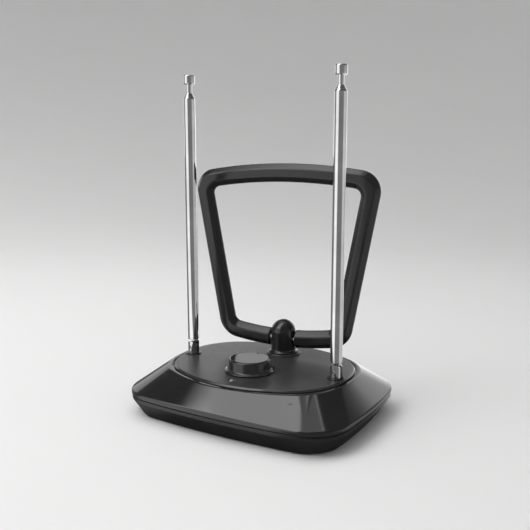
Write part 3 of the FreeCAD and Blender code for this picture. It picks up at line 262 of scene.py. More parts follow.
def bend(before, corner, after, radius, share):
    """Point on the small curve that rounds a corner, at a share of its way."""
    back = before - corner
    on = after - corner
    start = corner + back * min(radius / max(back.length, TINY), 0.45)
    end = corner + on * min(radius / max(on.length, TINY), 0.45)
    return start * (1 - share) ** 2 + corner * (2 * share * (1 - share)) + end * share ** 2


def softened(rings, closed, steps):
    """Rings of points, with each one that has a radius made into a rounded corner."""
    rows = []
    for index, (ring, radius) in enumerate(rings):
        if radius == 0 or (not closed and index in (0, len(rings) - 1)):
            rows.append(ring)
            continue
        before = rings[index - 1][0]
        after = rings[(index + 1) % len(rings)][0]
        for step in range(steps + 1):
            rows.append([bend(b, c, a, radius, step / steps) for b, c, a in zip(before, ring, after)])
    return rows


def loft(rings, closed=False, wrap=True, steps=5):
    """Skin over rings of points, each with its rounding. A closed skin joins its last ring
    to its first, and an open one has its ends capped. Without wrap, the rings are open
    paths, and the section is capped at both of their ends."""
    rows = softened(rings, closed, steps)
    width = len(rows[0])
    count = len(rows)
    faces = []
    for row in range(count if closed else count - 1):
        above = (row + 1) % count
        for column in range(width if wrap else width - 1):
            beside = (column + 1) % width
            faces.append((
                row * width + column, row * width + beside,
                above * width + beside, above * width + column,
            ))
    if not closed:
        for row in (0, count - 1):
            if (rows[row][0] - rows[row][width // 2]).length > WELD:
                faces.append(list(range(row * width, (row + 1) * width)))
    if not wrap:
        faces.append([row * width for row in range(count)])
        faces.append([row * width + width - 1 for row in range(count)])
    return mesh_from([point for row in rows for point in row], faces)


def circle(radius, height, segments=SMALL_ROUND, x=0.0, y=0.0):
    """Ring of points about an upright axis."""
    step = 2 * math.pi / segments
    return [
        Vector((x + radius * math.cos(step * i), y + radius * math.sin(step * i), height))
        for i in range(segments)
    ]


def turned(profile, segments=ROUND, closed=False, steps=5):
    """Revolve a half section of (radius, height, rounding) about the Z axis."""
    return loft([(circle(r, z, segments), soft) for r, z, soft in profile], closed, steps=steps)


def block(corner, opposite, soft=0.0):
    """Box between two corners, with the edges of its top and bottom rounded."""
    (x0, y0, z0), (x1, y1, z1) = corner, opposite

    def level(z, inset=0.0):
        return [
            Vector((x0 + inset, y0 + inset, z)), Vector((x1 - inset, y0 + inset, z)),
            Vector((x1 - inset, y1 - inset, z)), Vector((x0 + inset, y1 - inset, z)),
        ]

    if soft == 0:
        return loft([(level(z0), 0), (level(z1), 0)])
    return loft([
        (level(z0, soft), 0), (level(z0), soft), (level(z1), soft), (level(z1, soft), 0),
    ])


def peg(radius, start, end, x=0.0, y=0.0, segments=SMALL_ROUND):
    """Plain cylinder, used to cut holes or to be joined to a larger body."""
    return loft([(circle(radius, start, segments, x, y), 0), (circle(radius, end, segments, x, y), 0)])


def moved(mesh, matrix):
    """The mesh, transformed."""
    mesh.transform(matrix)
    return mesh


def at(x, y, z):
    """Translation in millimetres."""
    return Matrix.Translation((x, y, z))


def about(axis, degrees):
    """Rotation about an axis through the origin."""
    return Matrix.Rotation(math.radians(degrees), 4, axis)


def joined(meshes):
    """Several separate meshes as one."""
    work = bmesh.new()
    for mesh in meshes:
        work.from_mesh(mesh)
    result = bpy.data.meshes.new("mesh")
    work.to_mesh(result)
    work.free()
    return result


def combined(mesh, others, operation):
    """Boolean of a mesh with others that don't touch each other."""
    subject = bpy.data.objects.new("subject", mesh)
    tool = bpy.data.objects.new("tool", joined(others))
    for item in (subject, tool):
        bpy.context.scene.collection.objects.link(item)
    modifier = subject.modifiers.new("boolean", "BOOLEAN")
    modifier.operation = operation
    modifier.solver = "EXACT"
    modifier.object = tool
    bpy.context.view_layer.update()
    evaluated = subject.evaluated_get(bpy.context.evaluated_depsgraph_get())
    result = bpy.data.meshes.new_from_object(evaluated)
    for item in (subject, tool):
        bpy.data.objects.remove(item)
    return result


def joined_to(mesh, *others):
    """Boolean union."""
    return combined(mesh, others, "UNION")


def cut_by(mesh, *others):
    """Boolean difference."""
    return combined(mesh, others, "DIFFERENCE")


def halved(mesh, side, parting=0.12):
    """One half of a closed mesh, cut by the plane y = 0, with a fine bevel along the parting."""
    work = bmesh.new()
    work.from_mesh(mesh)
    geometry = work.verts[:] + work.edges[:] + work.faces[:]
    bmesh.ops.bisect_plane(
        work, geom=geometry, dist=TINY, plane_co=(0, 0, 0), plane_no=(0, side, 0), clear_inner=True,
    )
    rim = [edge for edge in work.edges if edge.is_boundary]
    bmesh.ops.holes_fill(work, edges=rim)
    bmesh.ops.recalc_face_normals(work, faces=work.faces)
    bmesh.ops.bevel(work, geom=rim, offset=parting, segments=2, affect="EDGES", clamp_overlap=True)
    result = bpy.data.meshes.new("mesh")
    work.to_mesh(result)
    work.free()
    return result


def show(mesh, *nodes, place=None):
    """Put a finished mesh into the frame, in place of its CAD nodes."""
    node = nodes[0]
    mesh.transform(Matrix.Scale(MM, 4) @ (place or Matrix.Identity(4)))
    mesh.materials.clear()
    mesh.materials.append(finishes[slot_of[node]])
    mesh.shade_smooth()
    mesh.set_sharp_from_angle(angle=SHARP_ANGLE)
    item = bpy.data.objects.new(node + "_detail", mesh)
    mesh.name = item.name
    bpy.context.scene.collection.objects.link(item)
    weighted = item.modifiers.new("weighted_normals", "WEIGHTED_NORMAL")
    weighted.keep_sharp = True
    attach(item, body_of[node])
    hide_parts(*nodes)


# ------------------------------------------------------------------ outline of the base

# Half width, half depth, and the radii of the long sides, the ends and the corners.
OUTLINES = {
    "bottom": (66.0, 49.7, 560.0, 376.0, 20.5),
    "seam": (73.0, 55.3, 482.0, 277.5, 23.8),
    "deck": (55.9, 45.1, 78.6, 60.7, 33.6),
    "cavity": (59.5, 47.3, 81.6, 63.7, 36.6),
}
DECK_SHIFT = 1.8
CAVITY_SHIFT = DECK_SHIFT * 0.7
END_STEPS = 26
CORNER_STEPS = 22
LONG_STEPS = 44


def barrel(kind, grow, z, shift=0.0):
    """Ring of a rounded rectangle with bowed sides: eight tangent arcs, from the right end."""
    half_width, half_depth, long_radius, end_radius, corner = (size + grow for size in OUTLINES[kind])
    long_y = half_depth - long_radius
    end_x = half_width - end_radius
    reach_long = long_radius - corner
    reach_end = end_radius - corner
    apart = math.hypot(long_y, end_x)
    along = (reach_long ** 2 - reach_end ** 2 + apart ** 2) / (2 * apart)
    aside = math.sqrt(reach_long ** 2 - along ** 2)
    x = (end_x * along - long_y * aside) / apart
    y = long_y - (long_y * along + end_x * aside) / apart
    long_angle = math.atan2(y - long_y, x)
    end_angle = math.atan2(y, x - end_x)
    quarter = [
        (end_x, 0, end_radius, 0, end_angle, END_STEPS // 2),
        (x, y, corner, end_angle, long_angle, CORNER_STEPS),
        (0, long_y, long_radius, long_angle, math.pi / 2, LONG_STEPS // 2),
    ]
    points = []
    for centre_x, centre_y, radius, start, end, steps in quarter:
        for step in range(steps):
            angle = start + (end - start) * step / steps
            points.append((centre_x + radius * math.cos(angle), centre_y + radius * math.sin(angle)))
    top = (0.0, half_depth)
    left = [(-px, py) for px, py in reversed(points[1:])]
    upper = points + [top] + left + [(-half_width, 0.0)]
    lower = [(-px, -py) for px, py in upper[1:-1]]
    return [Vector((px, py + shift, z)) for px, py in upper + lower]


SEAM_Z = low("upper_shell").z
RIM_Z = high("upper_shell").z
TRAY_Z = low("lower_shell").z
LIP_Z = SEAM_Z + 2.4
BAND_Z = SEAM_Z - 2.6
SEAM_GAP = 0.55
DECK_BEVEL = 0.9
LEDGE_Z = RIM_Z - 1.4
CEILING_Z = LEDGE_Z - 2.2
FLOOR_Z = TRAY_Z + 2.2
WALL = 2.2
# Half width, bottom and top of the connector recess.
RECESS = (18.0, 5.0, 20.0)
BOSS_RADIUS = 3.4
SCREW_RADIUS = 1.4
PILLAR_RADIUS = 2.8
PILLAR_TOP = 6.4
FOOT_RADIUS = 5.0
FOOT_TOP = 1.4
ROD_HOLE_RADIUS = 4.0
COARSE = 24
BOSSES = [(x, y) for x in (-40, 40) for y in (-38, 38)]
PILLARS = [(x, y) for x in (-29, 29) for y in (-26, 30)]
FEET = [(x, y) for x in (-54, 54) for y in (-30, 30)]
ROD_X = joints["right_rod_swivel"]["pos_m"][0] / MM
ROD_Y = joints["right_rod_swivel"]["pos_m"][1] / MM


def recess_frame(start, end):
    """Walls around the connector recess, before it is cut."""
    half = RECESS[0] + 2.0
    return block((-half, 42.0, start), (half, 50.5, end))


def recess_opening():
    """What is cut out for the connector recess."""
    half, bottom, top = RECESS
    return block((-half, 41.0, bottom), (half, 60.0, top))


def make_lower_shell():
    """Tray with its band under the seam, and what is moulded inside and under it."""
    shell = loft([
        (barrel("bottom", -6, TRAY_Z), 0),
        (barrel("bottom", 0, TRAY_Z), 0.9),
        (barrel("seam", -0.4, BAND_Z), 0.35),
        (barrel("seam", -0.35, SEAM_Z - SEAM_GAP), 0.2),
        (barrel("seam", -0.95, SEAM_Z - SEAM_GAP), 0.08),
        (barrel("seam", -0.95, SEAM_Z), 0),
        (barrel("seam", -WALL, SEAM_Z), 0.12),
        (barrel("bottom", -WALL, FLOOR_Z), 1.0),
        (barrel("bottom", -8, FLOOR_Z), 0),
    ])
    shell = joined_to(
        shell, recess_frame(FLOOR_Z - 1, SEAM_Z),
        *[peg(BOSS_RADIUS, FLOOR_Z - 0.5, SEAM_Z, x, y) for x, y in BOSSES],
        *[peg(PILLAR_RADIUS, FLOOR_Z - 0.5, PILLAR_TOP, x, y) for x, y in PILLARS],
    )
    hole = [
        (0, 0, 0), (3.2, 0, 0), (3.2, TRAY_Z, 0), (3.0, TRAY_Z + 0.2, 0), (3.0, 2.6, 0), (1.6, 2.6, 0),
        (1.6, SEAM_Z + 1, 0), (0, SEAM_Z + 1, 0),
    ]
    shell = cut_by(
        shell, recess_opening(),
        *[moved(turned(hole, SMALL_ROUND), at(x, y, 0)) for x, y in BOSSES],
        *[peg(FOOT_RADIUS, 0, FOOT_TOP, x, y) for x, y in FEET],
        *[peg(1.0, 3.2, 8, x, y, COARSE) for x, y in PILLARS],
    )
    show(shell, "lower_shell")


def make_upper_shell():
    """Glossy skirt: upright lip, sloping wall, rounded rim, and the groove round the deck."""
    shell = loft([
        (barrel("seam", -0.3, SEAM_Z), 0),
        (barrel("seam", 0, SEAM_Z + 0.3), 0.2),
        (barrel("seam", 0, LIP_Z), 1.1),
        (barrel("deck", 3.2, RIM_Z, DECK_SHIFT), 0.7),
        (barrel("deck", 1.2, RIM_Z, DECK_SHIFT), 0.25),
        (barrel("deck", 1.2, LEDGE_Z, DECK_SHIFT), 0),
        (barrel("deck", -4.0, LEDGE_Z, DECK_SHIFT), 0.2),
        (barrel("deck", -4.0, CEILING_Z, DECK_SHIFT), 0),
        (barrel("cavity", 0, CEILING_Z, CAVITY_SHIFT), 0.8),
        (barrel("seam", -WALL, SEAM_Z), 0),
    ], closed=True)
    shell = joined_to(
        shell, recess_frame(SEAM_Z, RECESS[2] + 2),
        *[peg(BOSS_RADIUS, SEAM_Z, CEILING_Z + 0.5, x, y) for x, y in BOSSES],
    )
    shell = cut_by(
        shell, recess_opening(),
        *[peg(SCREW_RADIUS, SEAM_Z - 1, 18.5, x, y, COARSE) for x, y in BOSSES],
        *[peg(ROD_HOLE_RADIUS, CEILING_Z - 2, RIM_Z + 1, x, ROD_Y) for x in (-ROD_X, ROD_X)],
    )
    show(shell, "upper_shell")


def make_top_deck():
    """Matt deck plate with a fine bright bevel, its rib below, and its holes."""
    plate = loft([
        (barrel("deck", -7, LEDGE_Z, DECK_SHIFT), 0),
        (barrel("deck", 0, LEDGE_Z, DECK_SHIFT), 0.15),
        (barrel("deck", 0, DECK_Z - DECK_BEVEL, DECK_SHIFT), 0.2),
        (barrel("deck", -DECK_BEVEL, DECK_Z, DECK_SHIFT), 0.3),
        (barrel("deck", -7, DECK_Z, DECK_SHIFT), 0),
    ])
    rib = loft([
        (barrel("deck", -4.3, CEILING_Z, DECK_SHIFT), 0),
        (barrel("deck", -4.3, LEDGE_Z + 0.5, DECK_SHIFT), 0),
        (barrel("deck", -5.9, LEDGE_Z + 0.5, DECK_SHIFT), 0),
        (barrel("deck", -5.9, CEILING_Z, DECK_SHIFT), 0),
    ], closed=True)
    post_y = middle("post_collar").y
    plate = joined_to(plate, rib, peg(8.0, 23.9, LEDGE_Z + 0.5, 0, post_y, ROUND))
    holes = [(x, ROD_Y, ROD_HOLE_RADIUS) for x in (-ROD_X, ROD_X)]
    holes += [(0, middle("gain_knob").y, 3.5), (0, post_y, 5.05)]
    lamp_hole = turned([
        (0, -9, 0), (1.55, -9, 0), (1.55, -0.5, 0), (2.15, 0, 0), (2.15, 1, 0), (0, 1, 0),
    ], SMALL_ROUND)
    plate = cut_by(
        plate, moved(lamp_hole, at(0, middle("status_lamp").y, DECK_Z)),
        *[peg(radius, 20, 30, x, y) for x, y, radius in holes],
    )
    show(plate, "top_deck")


def make_feet_and_screws():
    """Rubber feet with a shallow dish, and pan-head case screws with a cross recess."""
    foot = [
        (0, 0.15, 0), (3.2, 0.15, 0.1), (3.6, 0, 0.2), (4.6, 0, 0.3),
        (FOOT_RADIUS, 0.4, 0.2), (FOOT_RADIUS, FOOT_TOP, 0), (0, FOOT_TOP, 0),
    ]
    show(joined([moved(turned(foot, SMALL_ROUND), at(x, y, 0)) for x, y in FEET]), "rubber_feet")
    profile = [
        (0, 1.2, 0), (2.2, 1.2, 0.3), (2.8, 1.7, 0.3), (2.8, 2.6, 0.05),
        (SCREW_RADIUS, 2.6, 0), (SCREW_RADIUS, 17.2, 0), (0.5, 18.0, 0), (0, 18.0, 0),
    ]
    screws = []
    for x, y in BOSSES:
        bars = joined_to(
            block((-1.5, -0.32, 0.5), (1.5, 0.32, 2.1)), block((-0.32, -1.5, 0.4), (0.32, 1.5, 2.0)),
        )
        screws.append(moved(cut_by(turned(profile, SMALL_ROUND), bars), at(x, y, 0)))
    show(joined(screws), "case_screws")


# ------------------------------------------------------------------ back panel

def thread(radius, start, end, pitch, depth):
    """Rings of a screw thread: the radius swells and narrows along a helix. The groove runs
    out at both ends, and the far end is chamfered."""
    rows = []
    steps = int((end - start) / pitch * 8)
    for row in range(steps + 1):
        z = start + (end - start) * row / steps
        fade = min(1.0, (end - z) / (pitch * 0.8) + 0.15, (z - start) / (pitch * 0.8) + 0.15)
        ring = []
        for i in range(ROUND):
            phase = (z / pitch - i / ROUND) % 1.0
            crest = 1 - abs(2 * phase - 1)
            groove = depth * (1 - min(1.0, crest * 1.5)) * fade
            chamfer = 0.25 * max(0.0, 1 - (end - z) / 0.35)
            r = radius - groove - chamfer
            angle = 2 * math.pi * i / ROUND
            ring.append(Vector((r * math.cos(angle), r * math.sin(angle), z)))
        rows.append((ring, 0))
    return rows


NUT_CORNER = 6.3
NECK_RADIUS = 4.2
INLET_RADIUS = 4.0
PLUG_RADIUS = 3.4


def hexagon(z, trim):
    """Ring of the nut's hexagon, with its corners trimmed by a circle."""
    ring = []
    for i in range(ROUND):
        angle = 2 * math.pi * i / ROUND
        flat = NUT_CORNER * math.cos(math.pi / 6) / math.cos((angle % (math.pi / 3)) - math.pi / 6)
        r = min(flat, trim)
        ring.append(Vector((r * math.cos(angle), r * math.sin(angle), z)))
    return ring


def make_connectors():
    """Panel in the back recess, with the threaded coaxial socket and the power inlet."""
    lying = about("X", -90)
    panel_y = high("connector_panel").y
    socket_at = middle("coax_nut")
    inlet_at = middle("power_inlet")
    place = at(socket_at.x, panel_y, socket_at.z) @ lying
    inlet_place = at(inlet_at.x, panel_y, inlet_at.z) @ lying
    half, bottom, top = RECESS
    panel = block((-half, -top, -2.0), (half, -bottom, 0.0), 0.15)
    panel = cut_by(
        panel, peg(NECK_RADIUS, -3, 1, socket_at.x, -socket_at.z, ROUND),
        peg(INLET_RADIUS, -3, 1, inlet_at.x, -inlet_at.z, ROUND),
    )
    show(panel, "connector_panel", place=at(0, panel_y, 0) @ lying)
    thread_start, thread_end = 2.4, 8.5
    rings = [(circle(r, z, ROUND), soft) for r, z, soft in [
        (0, -9.5, 0), (4.4, -9.5, 0.3), (4.4, -4.5, 0), (5.6, -4.5, 0.2), (5.6, -2, 0),
        (NECK_RADIUS, -2, 0), (NECK_RADIUS, thread_start, 0),
    ]]
    rings += thread(4.7, thread_start, thread_end, pitch=0.79, depth=0.34)
    rings += [(circle(r, z, ROUND), soft) for r, z, soft in [
        (3.8, thread_end, 0.15), (PLUG_RADIUS, 8.1, 0.1), (PLUG_RADIUS, 1.0, 0), (0, 1.0, 0),
    ]]
    show(loft(rings), "coax_socket", place=place)
    insulator = [
        (0.6, 1.0, 0), (PLUG_RADIUS, 1.0, 0), (PLUG_RADIUS, 7.7, 0.15), (1.3, 7.7, 0.2),
        (0.9, 7.2, 0.1), (0.6, 6.9, 0),
    ]
    show(turned(insulator, SMALL_ROUND, closed=True), "coax_insulator", place=place)
    nut = loft([
        (hexagon(0.0, 5.75), 0), (hexagon(0.3, 6.25), 0), (hexagon(2.05, 6.25), 0), (hexagon(2.4, 5.65), 0),
        (circle(4.5, 2.4, ROUND), 0), (circle(NECK_RADIUS, 2.15, ROUND), 0),
        (circle(NECK_RADIUS, 0.0, ROUND), 0),
    ], closed=True)
    show(nut, "coax_nut", place=place)
    inlet = [
        (0, -9, 0), (INLET_RADIUS, -9, 0.3), (INLET_RADIUS, 0, 0), (5, 0, 0), (5, 1.5, 0.35),
        (3.2, 1.5, 0.15), (2.8, 1.1, 0.1), (2.8, -7, 0), (0.9, -7, 0), (0.9, 0.1, 0.3),
        (0.5, 0.5, 0.2), (0, 0.5, 0),
    ]
    show(turned(inlet), "power_inlet", place=inlet_place)


# ------------------------------------------------------------------ knob and lamp

def dome(radius, height, steps):
    """Profile points of a dome about a centre at a height, from its rim to its top."""
    angles = [math.pi / 2 * i / steps for i in range(steps + 1)]
    return [(radius * math.cos(a), height + radius * math.sin(a), 0) for a in angles]


def make_knob_and_lamp():
    """Gain knob with a thin skirt, a small fillet and a pointer mark; domed lamp on two legs."""
    knob_at = middle("gain_knob")
    place = at(0, knob_at.y, DECK_Z)
    knob = turned([
        (0, 6.3, 0), (3, 6.3, 0), (3, 2.6, 0), (5.6, 2.6, 0.2), (5.6, 5.6, 0.2), (10.6, 5.6, 0.4),
        (10.9, 0.3, 0.1), (14.8, 0.3, 0.12), (14.8, 1.0, 0.3), (13.0, 1.7, 1.1), (12.3, 7.15, 0.4),
        (11.85, 7.62, 0.25), (11.1, 7.8, 0.3), (0, 7.8, 0),
    ], FINE_ROUND)
    half, start, end = 0.5, 8.5, 11.2
    outline = []
    for centre, first in ((end - half, 0.0), (start + half, math.pi)):
        for i in range(9):
            angle = first + math.pi * i / 8
            outline.append((half * math.cos(angle), centre + half * math.sin(angle)))
    mark = loft([([Vector((x, y, z)) for x, y in outline], 0) for z in (7.5, 8.2)])
    show(cut_by(knob, mark), "gain_knob", place=place)
    lens = 1.45
    body = [(0, -6.2, 0), (1.9, -6.2, 0.1), (1.9, -5.2, 0.1), (lens, -5.2, 0)]
    lamp = turned(body + dome(lens, -1.2, 10), SMALL_ROUND)
    board_top = high("circuit_board").z - DECK_Z
    legs = [block((x - 0.25, -0.25, board_top), (x + 0.25, 0.25, -6.0)) for x in (-1, 1)]
    show(joined_to(lamp, *legs), "status_lamp", place=at(0, middle("status_lamp").y, DECK_Z))


# ------------------------------------------------------------------ telescopic rods

PIVOT_Z = joints["right_rod_tilt"]["pos_m"][2] / MM
# Sections of a rod, from the outside in: node, radius and bore.
TUBES = (
    ("outer_tube", 3.5, 3.15), ("second_tube", 2.85, 2.6), ("third_tube", 2.3, 2.05), ("inner_rod", 1.75, 0),
)
# Heights over the tilt pivot. Each section's mouth stands a step above the one around it.
TUBE_TOP = 156.2
TUBE_STEP = 1.1
CAP_BOTTOM = 163.6
CAP_TOP = 169.1
CAP_INSIDE = CAP_BOTTOM + 3
KNUCKLE_BOTTOM = -3.8
KNUCKLE_TOP = 9.0
SHOULDER_Z = 5.0


def make_rod(side, sign):
    """One telescopic rod: bush, swivel stud, slotted knuckle, rivet, four sections and cap."""
    place = at(sign * ROD_X, ROD_Y, PIVOT_Z)
    deck = DECK_Z - PIVOT_Z
    bush = turned([
        (2.55, -12.5, 0), (ROD_HOLE_RADIUS, -12.5, 0.1), (ROD_HOLE_RADIUS, deck, 0), (4.9, deck, 0.05),
        (4.9, deck + 0.4, 0.12), (4.6, deck + 0.6, 0.15), (2.75, deck + 0.6, 0.1), (2.55, deck + 0.4, 0),
    ], closed=True)
    show(bush, f"{side}_rod_bush", place=place)
    stem = turned([
        (0, -14.4, 0), (2.2, -14.4, 0.1), (2.5, -14.1, 0.1), (2.5, -13.9, 0), (1.9, -13.9, 0),
        (1.9, -13.1, 0), (2.5, -13.1, 0), (2.5, deck + 0.65, 0.1), (0, deck + 0.65, 0),
    ], SMALL_ROUND)
    half = 2.1
    outline = [(-half, deck + 0.35), (half, deck + 0.35)]
    outline += [(half * math.cos(a), half * math.sin(a)) for a in (math.pi * i / 20 for i in range(21))]
    tongue = loft([
        ([Vector((px * grow, y, pz if pz < 0 else pz * grow)) for px, pz in outline], 0)
        for y, grow in ((-1.2, 0.9), (-1.05, 1), (1.05, 1), (1.2, 0.9))
    ])
    across = about("X", 90)
    eye = moved(peg(1.05, -3, 3), across)
    show(cut_by(joined_to(stem, tongue), eye), f"{side}_swivel_stud", place=place)
    knuckle = turned([
        (0, KNUCKLE_BOTTOM, 0), (3.5, KNUCKLE_BOTTOM, 0), (3.5, SHOULDER_Z - 0.15, 0), (3.35, SHOULDER_Z, 0),
        (3.15, SHOULDER_Z, 0), (3.15, KNUCKLE_TOP - 0.3, 0), (2.85, KNUCKLE_TOP, 0), (0, KNUCKLE_TOP, 0),
    ], SMALL_ROUND)
    # The fork's two prongs are rounded about the rivet, so that they clear the bush.
    below = moved(cut_by(block((-5, 0, -5), (5, 5, 5)), peg(-KNUCKLE_BOTTOM, -6, 6)), across)
    knuckle = cut_by(knuckle, below)
    knuckle = cut_by(knuckle, block((-5, -1.35, -5), (5, 1.35, 3.2)))
    knuckle = cut_by(knuckle, moved(peg(1.0, -5, 5), across))
    show(knuckle, f"{side}_knuckle", place=place)
    rivet = turned([
        (0, -3.15, 0), (0.55, -3.1, 0.2), (0.98, -2.85, 0.15), (0.98, 2.85, 0.15), (0.55, 3.1, 0.2),
        (0, 3.15, 0),
    ], SMALL_ROUND)
    show(moved(rivet, across), f"{side}_knuckle_rivet", place=place)
    for index, (section, radius, bore) in enumerate(TUBES):
        top = TUBE_TOP + index * TUBE_STEP
        bottom = KNUCKLE_TOP + index * 1.5 if index else SHOULDER_Z
        if index == 0:
            profile = [(bore, bottom, 0), (radius - 0.12, bottom, 0), (radius, bottom + 0.12, 0)]
        else:
            foot = TUBES[index - 1][2] - 0.05
            profile = [
                (bore, bottom, 0), (foot - 0.1, bottom, 0), (foot, bottom + 0.1, 0), (foot, bottom + 4, 0.1),
                (radius, bottom + 4.4, 0),
            ]
        if bore:
            mouth = TUBES[index + 1][1] + 0.05
            profile += [
                (radius, top - 0.9, 0.5), (mouth + 0.12, top, 0.08), (mouth, top, 0), (mouth, top - 1.5, 0),
                (bore, top - 1.8, 0),
            ]
        else:
            profile += [(radius, CAP_INSIDE, 0), (0, CAP_INSIDE, 0)]
        show(turned(profile, SMALL_ROUND, closed=bore > 0), f"{side}_{section}", place=place)
    cap = turned([
        (0, CAP_INSIDE, 0), (1.75, CAP_INSIDE, 0), (1.75, CAP_BOTTOM, 0), (2.95, CAP_BOTTOM, 0.15),
        (3.45, CAP_BOTTOM + 0.5, 0.2), (3.45, CAP_TOP - 0.5, 0.35), (2.95, CAP_TOP, 0.35), (0, CAP_TOP, 0),
    ], SMALL_ROUND)
    show(cap, f"{side}_tip_cap", place=place)


# ------------------------------------------------------------------ loop and its post

tilt = joints["loop_tilt"]
pivot = Vector(tilt["pos_m"]) / MM
loop_place = at(*pivot) @ Matrix.Rotation(math.atan2(-tilt["axis"][1], -tilt["axis"][0]), 4, "Z")
# How far the loop's sides lean out, and how far their outer edge's line is from the pivot.
LEAN = math.radians(10.46)
SIDE_DISTANCE = 43.3
# Height of the crest, radius of the bow, and radii of the outer and the inner corners.
TOP_BOW = (111.1, 332.0, 13.1, 4.5)
BOTTOM_BOW = (-5.73, 200.0, 14.4, 5.0)
BAR_WIDTH = 11.45
BAR_DEPTH = 4.1
BEVEL = 3.3
# Half of the space that the post takes up between the ends of the bar.
GAP = 8.5
# Parting line between the halves, and the conductor's channel as two insets and a depth.
PARTING = 0.14
CHANNEL = (4.1, 7.3, 1.05)


def loop_path(inset, y, follow_outer=False):
    """Open path round the loop at an inset from its outer edge, from the gap at the right of
    the post to the gap at its left. Corner radii follow the outer or the inner edge."""
    outwards = Vector((math.cos(LEAN), -math.sin(LEAN)))
    upwards = Vector((math.sin(LEAN), math.cos(LEAN)))
    side = SIDE_DISTANCE - inset
    ends = []
    for (crest, bow, outer, inner), sign in ((BOTTOM_BOW, -1), (TOP_BOW, 1)):
        if follow_outer or inset < BAR_WIDTH / 2:
            corner = outer - inset
        else:
            corner = inner + BAR_WIDTH - inset
        radius = bow - inset
        centre = Vector((0, crest - sign * inset - sign * radius))
        start = outwards * (side - corner) - centre
        half = start.dot(upwards)
        travel = -half + sign * math.sqrt(half ** 2 - start.dot(start) + (radius - corner) ** 2)
        corner_centre = centre + start + upwards * travel
        aim = corner_centre - centre
        ends.append((centre, radius, corner_centre, corner, math.atan2(aim.y, aim.x)))
    low_centre, low_radius, low_corner, low_r, low_angle = ends[0]
    top_centre, top_radius, top_corner, top_r, top_angle = ends[1]
    points = []

    def arc(centre, radius, start, end, steps):
        for step in range(steps + 1):
            angle = start + (end - start) * step / steps
            points.append(centre + Vector((math.cos(angle), math.sin(angle))) * radius)

    for x in (GAP, GAP + 0.15, GAP + 0.45):
        angle = -math.pi / 2 + math.asin(x / low_radius)
        points.append(low_centre + Vector((math.cos(angle), math.sin(angle))) * low_radius)
    arc(low_centre, low_radius, -math.pi / 2 + math.asin((GAP + 1) / low_radius), low_angle, 16)
    arc(low_corner, low_r, low_angle, -LEAN, 18)
    arc(top_corner, top_r, -LEAN, top_angle, 18)
    arc(top_centre, top_radius, top_angle, math.pi / 2, 20)
    right = [point for i, point in enumerate(points) if i == 0 or (point - points[i - 1]).length > TINY * 100]
    left = [Vector((-point.x, point.y)) for point in reversed(right[:-1])]
    return [Vector((point.x, y, point.y)) for point in right + left]


def make_frame_half(side, node):
    """Half of the loop's frame: a flat face between two broad bevels, a fine parting line
    and the conductor's channel."""
    near, far, deep = CHANNEL
    rows = [
        (0.0, PARTING, 0.0, False), (0.0, BAR_DEPTH - BEVEL, 0.9, False), (BEVEL, BAR_DEPTH, 1.0, False),
        (BAR_WIDTH - BEVEL, BAR_DEPTH, 1.0, False), (BAR_WIDTH, BAR_DEPTH - BEVEL, 0.9, False),
        (BAR_WIDTH, PARTING, 0.0, False), (BAR_WIDTH - PARTING, 0.0, 0.0, False), (far, 0.0, 0.0, True),
        (far, deep, 0.0, True), (near, deep, 0.0, True), (near, 0.0, 0.0, True), (PARTING, 0.0, 0.0, False),
    ]
    rings = [(loop_path(inset, side * depth, outer), soft) for inset, depth, soft, outer in rows]
    # The ends of the bar at the post are rounded off a little.
    for ring, _ in rings:
        for index, shrink in ((0, 0.92), (1, 0.972), (2, 0.995)):
            for point in (ring[index], ring[-1 - index]):
                point.y *= shrink
                point.z *= shrink
    mesh = loft(rings, closed=True, wrap=False, steps=6)
    shaft = moved(peg(2.5, -14.5, 14.5), about("Y", 90))
    show(cut_by(mesh, shaft), node, place=loop_place)


POST_RADIUS = 7.9
DOME_CENTRE = 4.35
CLAMP_RADIUS = 1.2
CLAMP_SEAT = 3.2


